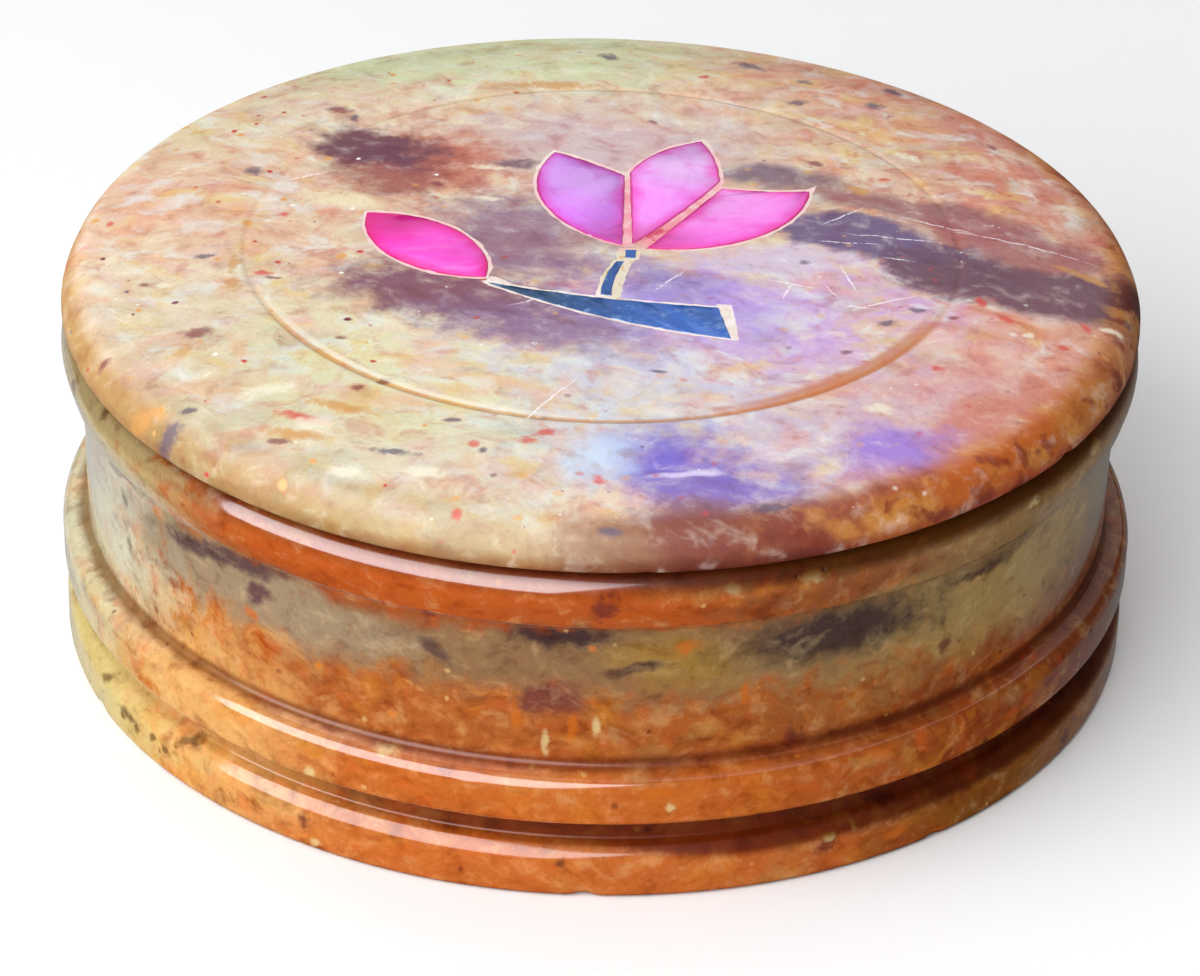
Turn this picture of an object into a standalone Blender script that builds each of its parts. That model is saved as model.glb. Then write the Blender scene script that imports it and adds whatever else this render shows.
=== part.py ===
"""Soapstone keepsake box: a turned cup and a lift-off turned lid with an inlaid flower of stone chips.

Units are metres and +Z is up. The origin is at the centre of the foot, on the surface that the box stands on.
The cup and the lid are profiles turned about Z. The lid and all that is set in it hang on the empty "lid_seat",
whose origin lies on the axis along which the lid lifts.
"""

import math

import bmesh
import bpy

# Cup, outside, from the foot up. The middle band is the widest part, and the rest is set in from its radius.
BODY_RADIUS = 0.0506
FOOT_INSET = 0.0002
FOOT_HEIGHT = 0.0052
FOOT_SHOULDER = 0.0026
FOOT_EDGE = 0.0006
GROOVE_HEIGHT = 0.0024
GROOVE_DEPTH = 0.0021
BAND_HEIGHT = 0.0044
BAND_EDGE = 0.0007
LEDGE_RISE = 0.0005
NECK_INSET = 0.0024
NECK_HEIGHT = 0.0154
NECK_FLARE = 0.0006
NECK_FLARE_HEIGHT = 0.0070
NECK_FILLET = 0.0005
TOP_BEAD_INSET = 0.0005
TOP_BEAD_HEIGHT = 0.0052
TOP_BEAD_SHOULDER = 0.0027
TOP_BEAD_TUCK = 0.0005

# Cup, inside and underneath. The wall is measured at the neck.
WALL_THICKNESS = 0.0062
CAVITY_FILLET = 0.0030
FLOOR_THICKNESS = 0.0057
MOUTH_CHAMFER = 0.0005
FOOT_RING_WIDTH = 0.0074
FOOT_RECESS_DEPTH = 0.0008

# Lid
LID_INSET = 0.0006
LID_EDGE_HEIGHT = 0.0039
LID_EDGE_ROUNDING = 0.0026
LID_UNDER_ROUNDING = 0.0005
LID_CROWN = 0.0014
RING_INSET = 0.0169
RING_WIDTH = 0.0010
RING_DEPTH = 0.0003
PLUG_DEPTH = 0.0025
PLUG_CHAMFER = 0.0004
PLUG_RIM_WIDTH = 0.0056
DISH_DEPTH = 0.0012
SEAT_GAP = 0.0003
PLUG_CLEARANCE = 0.0004

# Inlay
FLOWER_WIDTH = 0.0416
CHIP_THICKNESS = 0.0010
CEMENT_LINE = 0.00045
CEMENT_BED = 0.0004
GLUE_GAP = 0.00005

# Each outline runs anticlockwise seen from above, and (0, 0) is the lid's centre. A corner is (x, y, bow), and bow
# is how far the side that follows it swells outwards. On this drawing the flower is 41.6 units wide.
DRAWN_WIDTH = 41.6
CHIP_OUTLINES = {
    "petal_left": [(-4.8, 19.0, 4.4), (1.85, 0.0, 0.0), (1.95, 14.3, 0.25)],
    "petal_middle": [(2.75, 0.3, 0.4), (11.0, 13.6, 0.45), (9.3, 22.1, 1.1), (2.4, 15.0, 0.0)],
    "petal_right": [(4.1, -0.5, 4.3), (19.5, 12.0, -0.35), (11.2, 12.15, 0.0)],
    "bud": [(-22.1, 5.3, 4.0), (-10.6, -7.0, 4.1)],
    "stem": [(-10.4, -8.0, 1.3), (11.7, -17.5, 0.0), (10.6, -11.7, -0.6)],
    "stalk_lower": [(-0.1, -9.8, 0.0), (0.9, -9.95, -0.25), (2.0, -3.2, 0.0), (1.3, -3.2, 0.3)],
    "stalk_upper": [(2.1, -2.4, 0.0), (3.05, -2.5, 0.0), (3.1, -0.9, 0.0), (2.1, -0.9, 0.0)],
}
# Where the cement shows wider than a line: beside the stalk, at the stem's ends and at the right petal's tip.
CEMENT_FILLS = [
    [(0.5, -10.6, 0.0), (1.7, -10.6, -0.35), (3.7, -0.5, 0.0), (1.4, -0.5, 0.0)],
    [(10.4, -17.6, 0.0), (12.4, -18.0, 0.0), (11.9, -11.1, 0.0), (10.4, -11.1, 0.0)],
    [(-10.9, -8.3, 0.0), (-7.0, -8.9, 0.0), (-10.2, -6.6, 0.0)],
    [(18.6, 12.0, 0.0), (19.9, 12.0, 0.0), (20.2, 13.2, 0.0), (19.4, 12.6, 0.0)],
]

# Fineness
TURN_STEPS = 72
ARC_STEP = math.radians(18)
CHIP_ARC_STEP = math.radians(10)
SMOOTH_ANGLE = math.radians(30)

# Radii that follow from the sizes above
FOOT_RADIUS = BODY_RADIUS - FOOT_INSET
FOOT_RECESS_RADIUS = FOOT_RADIUS - FOOT_RING_WIDTH
GROOVE_RADIUS = BODY_RADIUS - GROOVE_DEPTH
NECK_RADIUS = BODY_RADIUS - NECK_INSET
TOP_BEAD_RADIUS = BODY_RADIUS - TOP_BEAD_INSET
CAVITY_RADIUS = NECK_RADIUS - WALL_THICKNESS
LID_RADIUS = BODY_RADIUS - LID_INSET
RING_RADIUS = LID_RADIUS - RING_INSET
PLUG_RADIUS = CAVITY_RADIUS - PLUG_CLEARANCE
DISH_RADIUS = PLUG_RADIUS - PLUG_RIM_WIDTH

# Heights that follow from them. The lid's are measured from its seat.
BAND_BOTTOM = FOOT_HEIGHT + GROOVE_HEIGHT
BAND_TOP = BAND_BOTTOM + BAND_HEIGHT
NECK_TOP = BAND_TOP + NECK_HEIGHT
RIM_Z = NECK_TOP + TOP_BEAD_HEIGHT
FLOOR_Z = FOOT_RECESS_DEPTH + FLOOR_THICKNESS
LID_SEAT_Z = RIM_Z + SEAT_GAP
LID_TOP = LID_EDGE_HEIGHT + LID_CROWN
POCKET_FLOOR = LID_TOP - CHIP_THICKNESS - CEMENT_BED - 2 * GLUE_GAP

# Name: base colour, roughness
FINISHES = {
    "stone_cup": ((0.47, 0.21, 0.09), 0.22),
    "stone_lid": ((0.55, 0.45, 0.28), 0.22),
    "chip_magenta": ((0.85, 0.02, 0.32), 0.25),
    "chip_pink": ((0.80, 0.10, 0.45), 0.25),
    "chip_lilac": ((0.68, 0.20, 0.66), 0.25),
    "chip_violet": ((0.60, 0.16, 0.55), 0.25),
    "chip_blue": ((0.03, 0.08, 0.17), 0.35),
    "cement_cream": ((0.80, 0.68, 0.48), 0.70),
}
CHIP_FINISH = {
    "petal_left": "chip_violet",
    "petal_middle": "chip_lilac",
    "petal_right": "chip_pink",
    "bud": "chip_magenta",
    "stem": "chip_blue",
    "stalk_lower": "chip_blue",
    "stalk_upper": "chip_blue",
}


def clear_scene():
    for obj in list(bpy.data.objects):
        bpy.data.objects.remove(obj, do_unlink=True)


def new_collection(name):
    collection = bpy.data.collections.new(name)
    bpy.context.scene.collection.children.link(collection)
    return collection


def finish(name):
    """The Principled material of this name, made the first time that it is asked for."""
    if name in bpy.data.materials:
        return bpy.data.materials[name]
    material = bpy.data.materials.new(name)
    material.use_nodes = True
    colour, roughness = FINISHES[name]
    shader = material.node_tree.nodes["Principled BSDF"]
    shader.inputs["Base Color"].default_value = (*colour, 1.0)
    shader.inputs["Roughness"].default_value = roughness
    shader.inputs["Metallic"].default_value = 0.0
    return material


def arc(centre_r, centre_z, radius, start, end):
    """Profile points round an arc, from start to end in degrees: 0 points outwards and 90 up."""
    start, end = math.radians(start), math.radians(end)
    steps = max(1, math.ceil(abs(end - start) / ARC_STEP - 1e-6))
    angles = [start + (end - start) * i / steps for i in range(steps + 1)]
    return [(centre_r + radius * math.cos(a), centre_z + radius * math.sin(a)) for a in angles]


def cup_inside():
    """From the axis on the inner floor out to the wall and up to the mouth."""
    fillet = min(CAVITY_FILLET, CAVITY_RADIUS)
    corner = arc(CAVITY_RADIUS - fillet, FLOOR_Z + fillet, fillet, -90, 0)
    mouth = [(CAVITY_RADIUS, RIM_Z - MOUTH_CHAMFER), (CAVITY_RADIUS + MOUTH_CHAMFER, RIM_Z)]
    return [(0.0, FLOOR_Z)] + corner + mouth


def top_bead():
    """A round shoulder over a wall that tucks in a little towards the neck."""
    shoulder_z = RIM_Z - TOP_BEAD_SHOULDER
    shoulder = arc(TOP_BEAD_RADIUS - TOP_BEAD_SHOULDER, shoulder_z, TOP_BEAD_SHOULDER, 90, 0)
    steps = 3
    tuck = []
    for i in range(1, steps + 1):
        share = i / steps
        tuck.append((TOP_BEAD_RADIUS - TOP_BEAD_TUCK * share**2, shoulder_z + (NECK_TOP - shoulder_z) * share))
    return shoulder + tuck


def neck():
    """A shallow cove under the bead, a straight wall, and a fillet on to the ledge."""
    steps = 4
    cove = []
    for i in range(steps + 1):
        share = i / steps
        radius = NECK_RADIUS + NECK_FLARE * (1 - share) ** 2
        cove.append((radius, NECK_TOP - NECK_FILLET - NECK_FLARE_HEIGHT * share))
    ledge_z = BAND_TOP + LEDGE_RISE
    fillet = arc(NECK_RADIUS + NECK_FILLET, ledge_z + NECK_FILLET, NECK_FILLET, 180, 270)
    return cove + fillet


def mid_band():
    corner = arc(BODY_RADIUS - BAND_EDGE, BAND_TOP - BAND_EDGE, BAND_EDGE, 90, 0)
    under = arc(BODY_RADIUS - BAND_EDGE, BAND_BOTTOM + BAND_EDGE, BAND_EDGE, 0, -90)
    return corner + under


def foot():
    """The groove's wall, the foot bead's shoulder from there outwards, and the small edge at the bottom."""
    shoulder_r = FOOT_RADIUS - FOOT_SHOULDER
    lean = min(1.0, max(0.0, (GROOVE_RADIUS - shoulder_r) / FOOT_SHOULDER))
    start = math.degrees(math.acos(lean))
    shoulder = arc(shoulder_r, FOOT_HEIGHT - FOOT_SHOULDER, FOOT_SHOULDER, start, 0)
    edge = arc(FOOT_RADIUS - FOOT_EDGE, FOOT_EDGE, FOOT_EDGE, 0, -90)
    groove = [(GROOVE_RADIUS, BAND_BOTTOM), (GROOVE_RADIUS, shoulder[0][1])]
    return groove + shoulder[1:] + edge


def cup_underneath():
    """The foot ring's inner wall and the recessed underside, in to the axis."""
    return [
        (FOOT_RECESS_RADIUS, 0.0),
        (FOOT_RECESS_RADIUS - FOOT_RECESS_DEPTH, FOOT_RECESS_DEPTH),
        (0.0, FOOT_RECESS_DEPTH),
    ]


def cup_profile():
    return cup_inside() + top_bead() + neck() + mid_band() + foot() + cup_underneath()


def lid_top():
    """A flat panel inside the ring line, then a crown that falls away to the rounded edge."""
    ring = [
        (RING_RADIUS - RING_WIDTH / 2, LID_TOP),
        (RING_RADIUS, LID_TOP - RING_DEPTH),
        (RING_RADIUS + RING_WIDTH / 2, LID_TOP),
    ]
    start, end = RING_RADIUS + RING_WIDTH / 2, LID_RADIUS - LID_EDGE_ROUNDING
    steps = 5
    crown = []
    for i in range(1, steps + 1):
        share = i / steps
        crown.append((start + (end - start) * share, LID_TOP - LID_CROWN * share**2))
    return [(0.0, LID_TOP)] + ring + crown


def lid_edge():
    """The rounding starts at the angle at which the crown runs into it."""
    centre_r, centre_z = LID_RADIUS - LID_EDGE_ROUNDING, LID_EDGE_HEIGHT - LID_EDGE_ROUNDING
    crown_width = centre_r - RING_RADIUS - RING_WIDTH / 2
    start = 90 - math.degrees(math.atan2(2 * LID_CROWN, crown_width))
    rounding = arc(centre_r, centre_z, LID_EDGE_ROUNDING, start, 0)
    under = arc(LID_RADIUS - LID_UNDER_ROUNDING, LID_UNDER_ROUNDING, LID_UNDER_ROUNDING, 0, -90)
    return rounding + under


def lid_underneath():
    """The seat, the plug that drops into the cup's mouth, and the shallow dish inside it."""
    return [
        (PLUG_RADIUS, 0.0),
        (PLUG_RADIUS, PLUG_CHAMFER - PLUG_DEPTH),
        (PLUG_RADIUS - PLUG_CHAMFER, -PLUG_DEPTH),
        (DISH_RADIUS, -PLUG_DEPTH),
        (DISH_RADIUS - DISH_DEPTH, DISH_DEPTH - PLUG_DEPTH),
        (0.0, DISH_DEPTH - PLUG_DEPTH),
    ]


def lid_profile():
    return lid_top() + lid_edge() + lid_underneath()


def chip_outline(corners, grow=0.0):
    """Points in metres round an outline, each side an arc of its bow, all moved outwards by grow."""
    unit = FLOWER_WIDTH / DRAWN_WIDTH
    points = []
    for (ax, ay, bow), (bx, by, _) in zip(corners, corners[1:] + corners[:1]):
        chord = math.hypot(bx - ax, by - ay)
        out_x, out_y = (by - ay) / chord, (ax - bx) / chord
        turn = 4 * math.atan(2 * abs(bow) / chord)
        steps = max(1, math.ceil(turn / CHIP_ARC_STEP - 1e-6))
        for i in range(steps):
            share = i / steps
            along, swell = share, 0.0
            if bow:
                radius = chord / (2 * math.sin(turn / 2))
                angle = turn * (share - 0.5)
                along = 0.5 + radius * math.sin(angle) / chord
                swell = math.copysign(radius * (math.cos(angle) - math.cos(turn / 2)), bow)
            x = ax + (bx - ax) * along + out_x * swell
            y = ay + (by - ay) * along + out_y * swell
            points.append((x * unit, y * unit))
    return [grown(points, i, grow) for i in range(len(points))]


def grown(points, i, grow):
    """Point i moved outwards so that both sides that meet there move by grow, with a limit at sharp tips."""
    (ax, ay), (bx, by), (cx, cy) = points[i - 1], points[i], points[(i + 1) % len(points)]
    before, after = math.hypot(bx - ax, by - ay), math.hypot(cx - bx, cy - by)
    n1 = ((by - ay) / before, (ax - bx) / before)
    n2 = ((cy - by) / after, (bx - cx) / after)
    both = math.hypot(n1[0] + n2[0], n1[1] + n2[1])
    mitre = ((n1[0] + n2[0]) / both, (n1[1] + n2[1]) / both)
    reach = grow / max(0.5, mitre[0] * n1[0] + mitre[1] * n1[1])
    return bx + mitre[0] * reach, by + mitre[1] * reach


def link(obj, collection, parent=None):
    collection.objects.link(obj)
    obj.parent = parent
    return obj


def turned(name, profile, collection, parent=None):
    """A profile turned once round Z. Its flat faces are then made whole, so that no fan of slivers is left."""
    mesh = bpy.data.meshes.new(name)
    mesh.from_pydata([(r, 0.0, z) for r, z in profile], [(i, i + 1) for i in range(len(profile) - 1)], [])
    obj = link(bpy.data.objects.new(name, mesh), collection, parent)
    screw = obj.modifiers.new("Turn", "SCREW")
    screw.axis = "Z"
    screw.steps = screw.render_steps = TURN_STEPS
    screw.use_merge_vertices = True
    screw.merge_threshold = 0.00001
    flats = obj.modifiers.new("Whole flats", "DECIMATE")
    flats.decimate_type = "DISSOLVE"
    flats.angle_limit = math.radians(0.5)
    return obj


def slab(name, outline, low, high, collection, parent=None):
    """A flat outline between two heights, as a mesh that a Boolean can take."""
    curve = bpy.data.curves.new(name, "CURVE")
    curve.dimensions = "2D"
    curve.fill_mode = "BOTH"
    curve.extrude = (high - low) / 2
    spline = curve.splines.new("POLY")
    spline.points.add(len(outline) - 1)
    for point, (x, y) in zip(spline.points, outline):
        point.co = (x, y, 0.0, 1.0)
    spline.use_cyclic_u = True
    drawn = link(bpy.data.objects.new(name + "_curve", curve), collection, parent)
    drawn.location.z = (low + high) / 2
    bpy.context.view_layer.update()
    mesh = bpy.data.meshes.new_from_object(drawn.evaluated_get(bpy.context.evaluated_depsgraph_get()))
    bpy.data.objects.remove(drawn)
    welded = bmesh.new()
    welded.from_mesh(mesh)
    bmesh.ops.remove_doubles(welded, verts=welded.verts, dist=0.000001)
    bmesh.ops.recalc_face_normals(welded, faces=welded.faces)
    welded.to_mesh(mesh)
    welded.free()
    obj = link(bpy.data.objects.new(name, mesh), collection, parent)
    obj.location.z = (low + high) / 2
    return obj


def as_cutter(obj):
    obj.hide_render = True
    obj.display_type = "WIRE"
    return obj


def boolean(obj, tool, operation):
    modifier = obj.modifiers.new(f"{operation.title()} {tool.name}", "BOOLEAN")
    modifier.operation = operation
    modifier.solver = "EXACT"
    modifier.object = tool


def settle(obj, material_name):
    """The object's modifiers turned into a plain mesh with its finish, smooth except at its edges."""
    bpy.context.view_layer.update()
    mesh = bpy.data.meshes.new_from_object(obj.evaluated_get(bpy.context.evaluated_depsgraph_get()))
    obj.modifiers.clear()
    obj.data = mesh
    mesh.shade_smooth()
    mesh.set_sharp_from_angle(angle=SMOOTH_ANGLE)
    mesh.materials.clear()
    mesh.materials.append(finish(material_name))
    return obj


def cement_field(name, grow, low, high, parts, cutters, seat):
    """Every chip and fill of the flower, grown and joined into one flat shape."""
    shapes = list(CHIP_OUTLINES.values())
    field = slab(name, chip_outline(shapes[0], grow), low, high, parts, seat)
    for i, corners in enumerate(shapes[1:]):
        tool = slab(f"{name}_chip_{i}", chip_outline(corners, grow), low, high, cutters, seat)
        boolean(field, as_cutter(tool), "UNION")
    spread = grow - CEMENT_LINE
    for i, corners in enumerate(CEMENT_FILLS):
        tool = slab(f"{name}_fill_{i}", chip_outline(corners, spread), low, high, cutters, seat)
        boolean(field, as_cutter(tool), "UNION")
    return field


def make_cup(parts):
    return settle(turned("base", cup_profile(), parts), "stone_cup")


def make_lid(parts, cutters, seat):
    """The turned lid with the pocket that is carved for the inlay."""
    lid = turned("lid", lid_profile(), parts, seat)
    clear_above = LID_TOP + CEMENT_BED
    pocket = as_cutter(cement_field("pocket", CEMENT_LINE, POCKET_FLOOR, clear_above, cutters, cutters, seat))
    boolean(lid, pocket, "DIFFERENCE")
    return settle(lid, "stone_lid")


def make_chips(parts, seat):
    for name, corners in CHIP_OUTLINES.items():
        chip = slab(name, chip_outline(corners), LID_TOP - CHIP_THICKNESS, LID_TOP, parts, seat)
        settle(chip, CHIP_FINISH[name])


def make_cement(parts, cutters, seat):
    """The cement fills the pocket but for the glue gap, with a bed under the chips and a wall between them."""
    low = POCKET_FLOOR + GLUE_GAP
    cement = cement_field("inlay_cement", CEMENT_LINE - GLUE_GAP, low, LID_TOP, parts, cutters, seat)
    recess_floor = LID_TOP - CHIP_THICKNESS - GLUE_GAP
    clear_above = LID_TOP + CEMENT_BED
    for name, corners in CHIP_OUTLINES.items():
        outline = chip_outline(corners, GLUE_GAP)
        recess = slab(f"{name}_recess", outline, recess_floor, clear_above, cutters, seat)
        boolean(cement, as_cutter(recess), "DIFFERENCE")
    return settle(cement, "cement_cream")


def main():
    clear_scene()
    parts = new_collection("soapstone_box")
    cutters = new_collection("cutters")
    seat = link(bpy.data.objects.new("lid_seat", None), parts)
    seat.location.z = LID_SEAT_Z
    make_cup(parts)
    make_lid(parts, cutters, seat)
    make_chips(parts, seat)
    make_cement(parts, cutters, seat)
    bpy.context.view_layer.update()


main()
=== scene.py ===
# %% [markdown]
# # A turned soapstone keepsake box
#
# The real box is two pieces of soapstone turned on a lathe: a cup, and a lid that lifts off. A flower of
# dyed stone chips is let into the lid and held by pale cement. This lesson dresses the plain solids of the
# frame: finer turned shapes first, then the inlay, then the finishes, and at the end the light.

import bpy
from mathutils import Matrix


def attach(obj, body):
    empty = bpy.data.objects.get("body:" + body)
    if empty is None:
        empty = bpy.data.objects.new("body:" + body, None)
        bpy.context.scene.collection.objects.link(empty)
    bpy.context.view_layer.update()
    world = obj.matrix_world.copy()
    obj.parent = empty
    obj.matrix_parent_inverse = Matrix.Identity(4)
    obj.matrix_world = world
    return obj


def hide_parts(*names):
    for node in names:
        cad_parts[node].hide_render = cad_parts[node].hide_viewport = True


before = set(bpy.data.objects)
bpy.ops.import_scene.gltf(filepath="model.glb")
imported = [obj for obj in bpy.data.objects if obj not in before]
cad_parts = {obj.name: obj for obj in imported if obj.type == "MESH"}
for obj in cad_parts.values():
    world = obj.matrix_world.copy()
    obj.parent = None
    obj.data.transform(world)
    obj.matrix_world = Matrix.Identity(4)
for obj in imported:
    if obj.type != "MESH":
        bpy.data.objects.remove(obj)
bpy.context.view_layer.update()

# %% [markdown]
# ## The camera
#
# The box is seen from the front and 30 degrees above, with a long lens, so that the near edge looks hardly
# wider than the far one. The camera also leans by 1.5 degrees. Its place and direction were fitted to the
# edges of the lid and the foot. A camera looks along its own -Z, so the three columns of its matrix are its
# right, its up and the reverse of the way it looks.

# %% Camera
import math

import bpy
from mathutils import Matrix, Vector

CAMERA_PLACE = Vector((0.0, -0.390538, 0.241562))
CAMERA_LOOKS = Vector((0.000757, 0.862137, -0.506675)).normalized()
CAMERA_LEAN = math.radians(1.49866)
LENS_MM, SENSOR_MM = 142.461, 36.0

level_right = CAMERA_LOOKS.cross(Vector((0, 0, 1))).normalized()
level_up = level_right.cross(CAMERA_LOOKS)
camera_right = math.cos(CAMERA_LEAN) * level_right + math.sin(CAMERA_LEAN) * level_up
camera_up = math.cos(CAMERA_LEAN) * level_up - math.sin(CAMERA_LEAN) * level_right

camera = bpy.data.objects.new("camera", bpy.data.cameras.new("camera"))
camera.data.lens, camera.data.sensor_width = LENS_MM, SENSOR_MM
camera.data.clip_start = 0.01
turn = Matrix((camera_right, camera_up, -CAMERA_LOOKS)).transposed()
camera.matrix_world = Matrix.Translation(CAMERA_PLACE) @ turn.to_4x4()
bpy.context.scene.collection.objects.link(camera)
bpy.context.scene.camera = camera
print("camera", tuple(round(v, 3) for v in camera.location), "lens", LENS_MM)

# %% [markdown]
# ## Two turned profiles
#
# A turned piece is one outline swept round an axis, so all of its character is in the outline: three beads
# with a waist between them, and a lid with a soft edge. A wood or stone turner rounds every corner, if only
# a little. So an outline here is a list of corners, each with its distance from the axis, its height and
# the radius that rounds it off, in millimetres. The numbers are those of the frame, with small radii where
# it has sharp edges.

# %% Rounding the corners of an outline
MM = 0.001
FINEST_TURN = math.radians(9)
LONGEST_STEP = 1.6


def rounded(corners):
    """An outline with each corner replaced by an arc of its own radius, as a list of (radius, height)."""
    outline = [Vector(corners[0][:2])]
    for before, here, after in zip(corners, corners[1:], corners[2:]):
        corner, radius = Vector(here[:2]), here[2]
        back, on = (Vector(before[:2]) - corner).normalized(), (Vector(after[:2]) - corner).normalized()
        bend = math.pi - back.angle(on)
        if radius == 0 or bend < 0.001:
            outline.append(corner)
            continue
        cut = radius * math.tan(bend / 2)
        centre = corner + (back + on).normalized() * math.hypot(radius, cut)
        start, end = corner + back * cut - centre, corner + on * cut - centre
        steps = max(2, math.ceil(bend / FINEST_TURN))
        for i in range(steps + 1):
            share = i / steps
            spoke = start * math.sin((1 - share) * bend) + end * math.sin(share * bend)
            outline.append(centre + spoke / math.sin(bend))
    outline.append(Vector(corners[-1][:2]))
    return outline


def stepped(outline):
    """The same outline with points added along its straight runs."""
    points = [outline[0]]
    for a, b in zip(outline, outline[1:]):
        steps = max(1, math.ceil((b - a).length / LONGEST_STEP))
        points += [a.lerp(b, i / steps) for i in range(1, steps + 1)]
    return [p * MM for p in points]


# %% The outlines of the cup and the lid
CUP_CORNERS = [
    (0, 6.5, 0), (42.0, 6.5, 3.0), (42.0, 32.6, 0.6), (50.1, 32.6, 2.7), (50.1, 29.4, 4.0),
    (49.5, 27.3, 0.95), (48.85, 26.8, 1.15), (48.45, 24.0, 9.0), (48.2, 20.5, 14.0), (48.2, 12.5, 0.6),
    (50.6, 12.0, 1.4), (50.6, 7.6, 0.75), (48.5, 7.6, 0.35), (48.5, 5.15, 0.35), (49.4, 4.85, 0.5),
    (50.4, 4.0, 1.6), (50.4, 0.0, 0.7), (43.0, 0.0, 0.25), (42.2, 0.8, 0.25), (0, 0.8, 0),
]
LID_SEAT, LID_THICKNESS, RING_LINE = 32.9, 5.3, 33.1
LID_CORNERS = [
    (0, LID_THICKNESS, 0), (RING_LINE - 0.5, LID_THICKNESS, 0.4), (RING_LINE, LID_THICKNESS - 0.1, 0.3),
    (RING_LINE + 0.5, LID_THICKNESS, 0.4), (38.5, 5.2, 20.0),
    (43.5, 4.66, 20.0), (48.9, 3.7, 2.7), (50.0, 1.3, 2.0), (50.0, 0.0, 0.55), (41.6, 0.0, 0.2),
    (41.6, -2.5, 0.45), (36.0, -2.5, 0.4), (34.8, -1.3, 0.4), (0, -1.3, 0),
]

cup_outline = stepped(rounded(CUP_CORNERS))
lid_outline = stepped(rounded([(r, z + LID_SEAT, bend) for r, z, bend in LID_CORNERS]))
print(len(cup_outline), "points on the cup's outline,", len(lid_outline), "on the lid's")

# %% [markdown]
# ## Writing nodes as sums
#
# Blender makes both finishes and turned shapes from nodes. A long sum is easier to read as a sum, so a
# small class wraps one socket of a node. Adding, subtracting or multiplying two wrapped sockets adds the
# Math node that does it. Every other node comes from one method, which takes the node's kind, its settings
# and what goes into its sockets.

# %% A socket that can be used in sums
class Socket:
    """One output of a node. Each operator adds the Math node that it stands for."""

    def __init__(self, maker, end):
        self.maker, self.end = maker, end

    def __add__(self, other):
        return self.maker.math("ADD", self, other)

    def __sub__(self, other):
        return self.maker.math("SUBTRACT", self, other)

    def __rsub__(self, other):
        return self.maker.math("SUBTRACT", other, self)

    def __mul__(self, other):
        return self.maker.math("MULTIPLY", self, other)

    def __truediv__(self, other):
        return self.maker.math("DIVIDE", self, other)

    def __abs__(self):
        return self.maker.math("ABSOLUTE", self)

    __radd__, __rmul__ = __add__, __mul__


# %% A maker of nodes
class NodeMaker:
    """Adds nodes to one tree, of whichever kind the tree is."""

    def __init__(self, tree):
        self.tree = tree

    def node(self, kind, settings, values, out):
        """A node of this kind, its settings made first, and the output of this name."""
        made = self.tree.nodes.new(kind)
        for key, value in settings.items():
            setattr(made, key, value)
        for key, value in values.items():
            self.feed(self.find(made.inputs, key), value)
        return Socket(self, self.find(made.outputs, out))

    def find(self, sockets, name):
        """The socket with this identifier, or else the first in use that has this name."""
        same = [s for s in sockets if s.identifier == name]
        same += [s for s in sockets if s.name == name and s.enabled]
        return same[0]

    def feed(self, socket, value):
        if isinstance(value, Socket):
            self.tree.links.new(value.end, socket)
        else:
            socket.default_value = value

    def math(self, operation, *terms):
        named = dict(zip(("Value", "Value_001", "Value_002"), terms))
        return self.node("ShaderNodeMath", {"operation": operation}, named, "Value")

    def vector(self, operation, *terms, out="Vector"):
        named = dict(zip(("Vector", "Vector_001", "Vector_002"), terms))
        return self.node("ShaderNodeVectorMath", {"operation": operation}, named, out)

    def split(self, vector):
        """The three parts of a vector."""
        return [self.node("ShaderNodeSeparateXYZ", {}, {"Vector": vector}, axis) for axis in "XYZ"]

    def join(self, x, y, z):
        return self.node("ShaderNodeCombineXYZ", {}, {"X": x, "Y": y, "Z": z}, "Vector")


# %% [markdown]
# ## A lathe made of Geometry Nodes
#
# The Screw modifier could sweep the outlines too. Geometry Nodes do it in a way that leaves room for the
# hand: a grid has one row for each point of the outline and one column for each step round the axis. Every
# point of it goes to its own radius and height, and a soft noise moves it by a few hundredths of a
# millimetre, as sanding does. The first and the last column then lie on each other, as do all points on the
# axis, and are merged.

# %% The lathe's tree
STEPS_ROUND = 480
UNEVENNESS, WAVES_PER_METRE = 0.00005, 55.0
FADE_RADIUS, WELD_DISTANCE = 0.01, 0.000002


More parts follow.
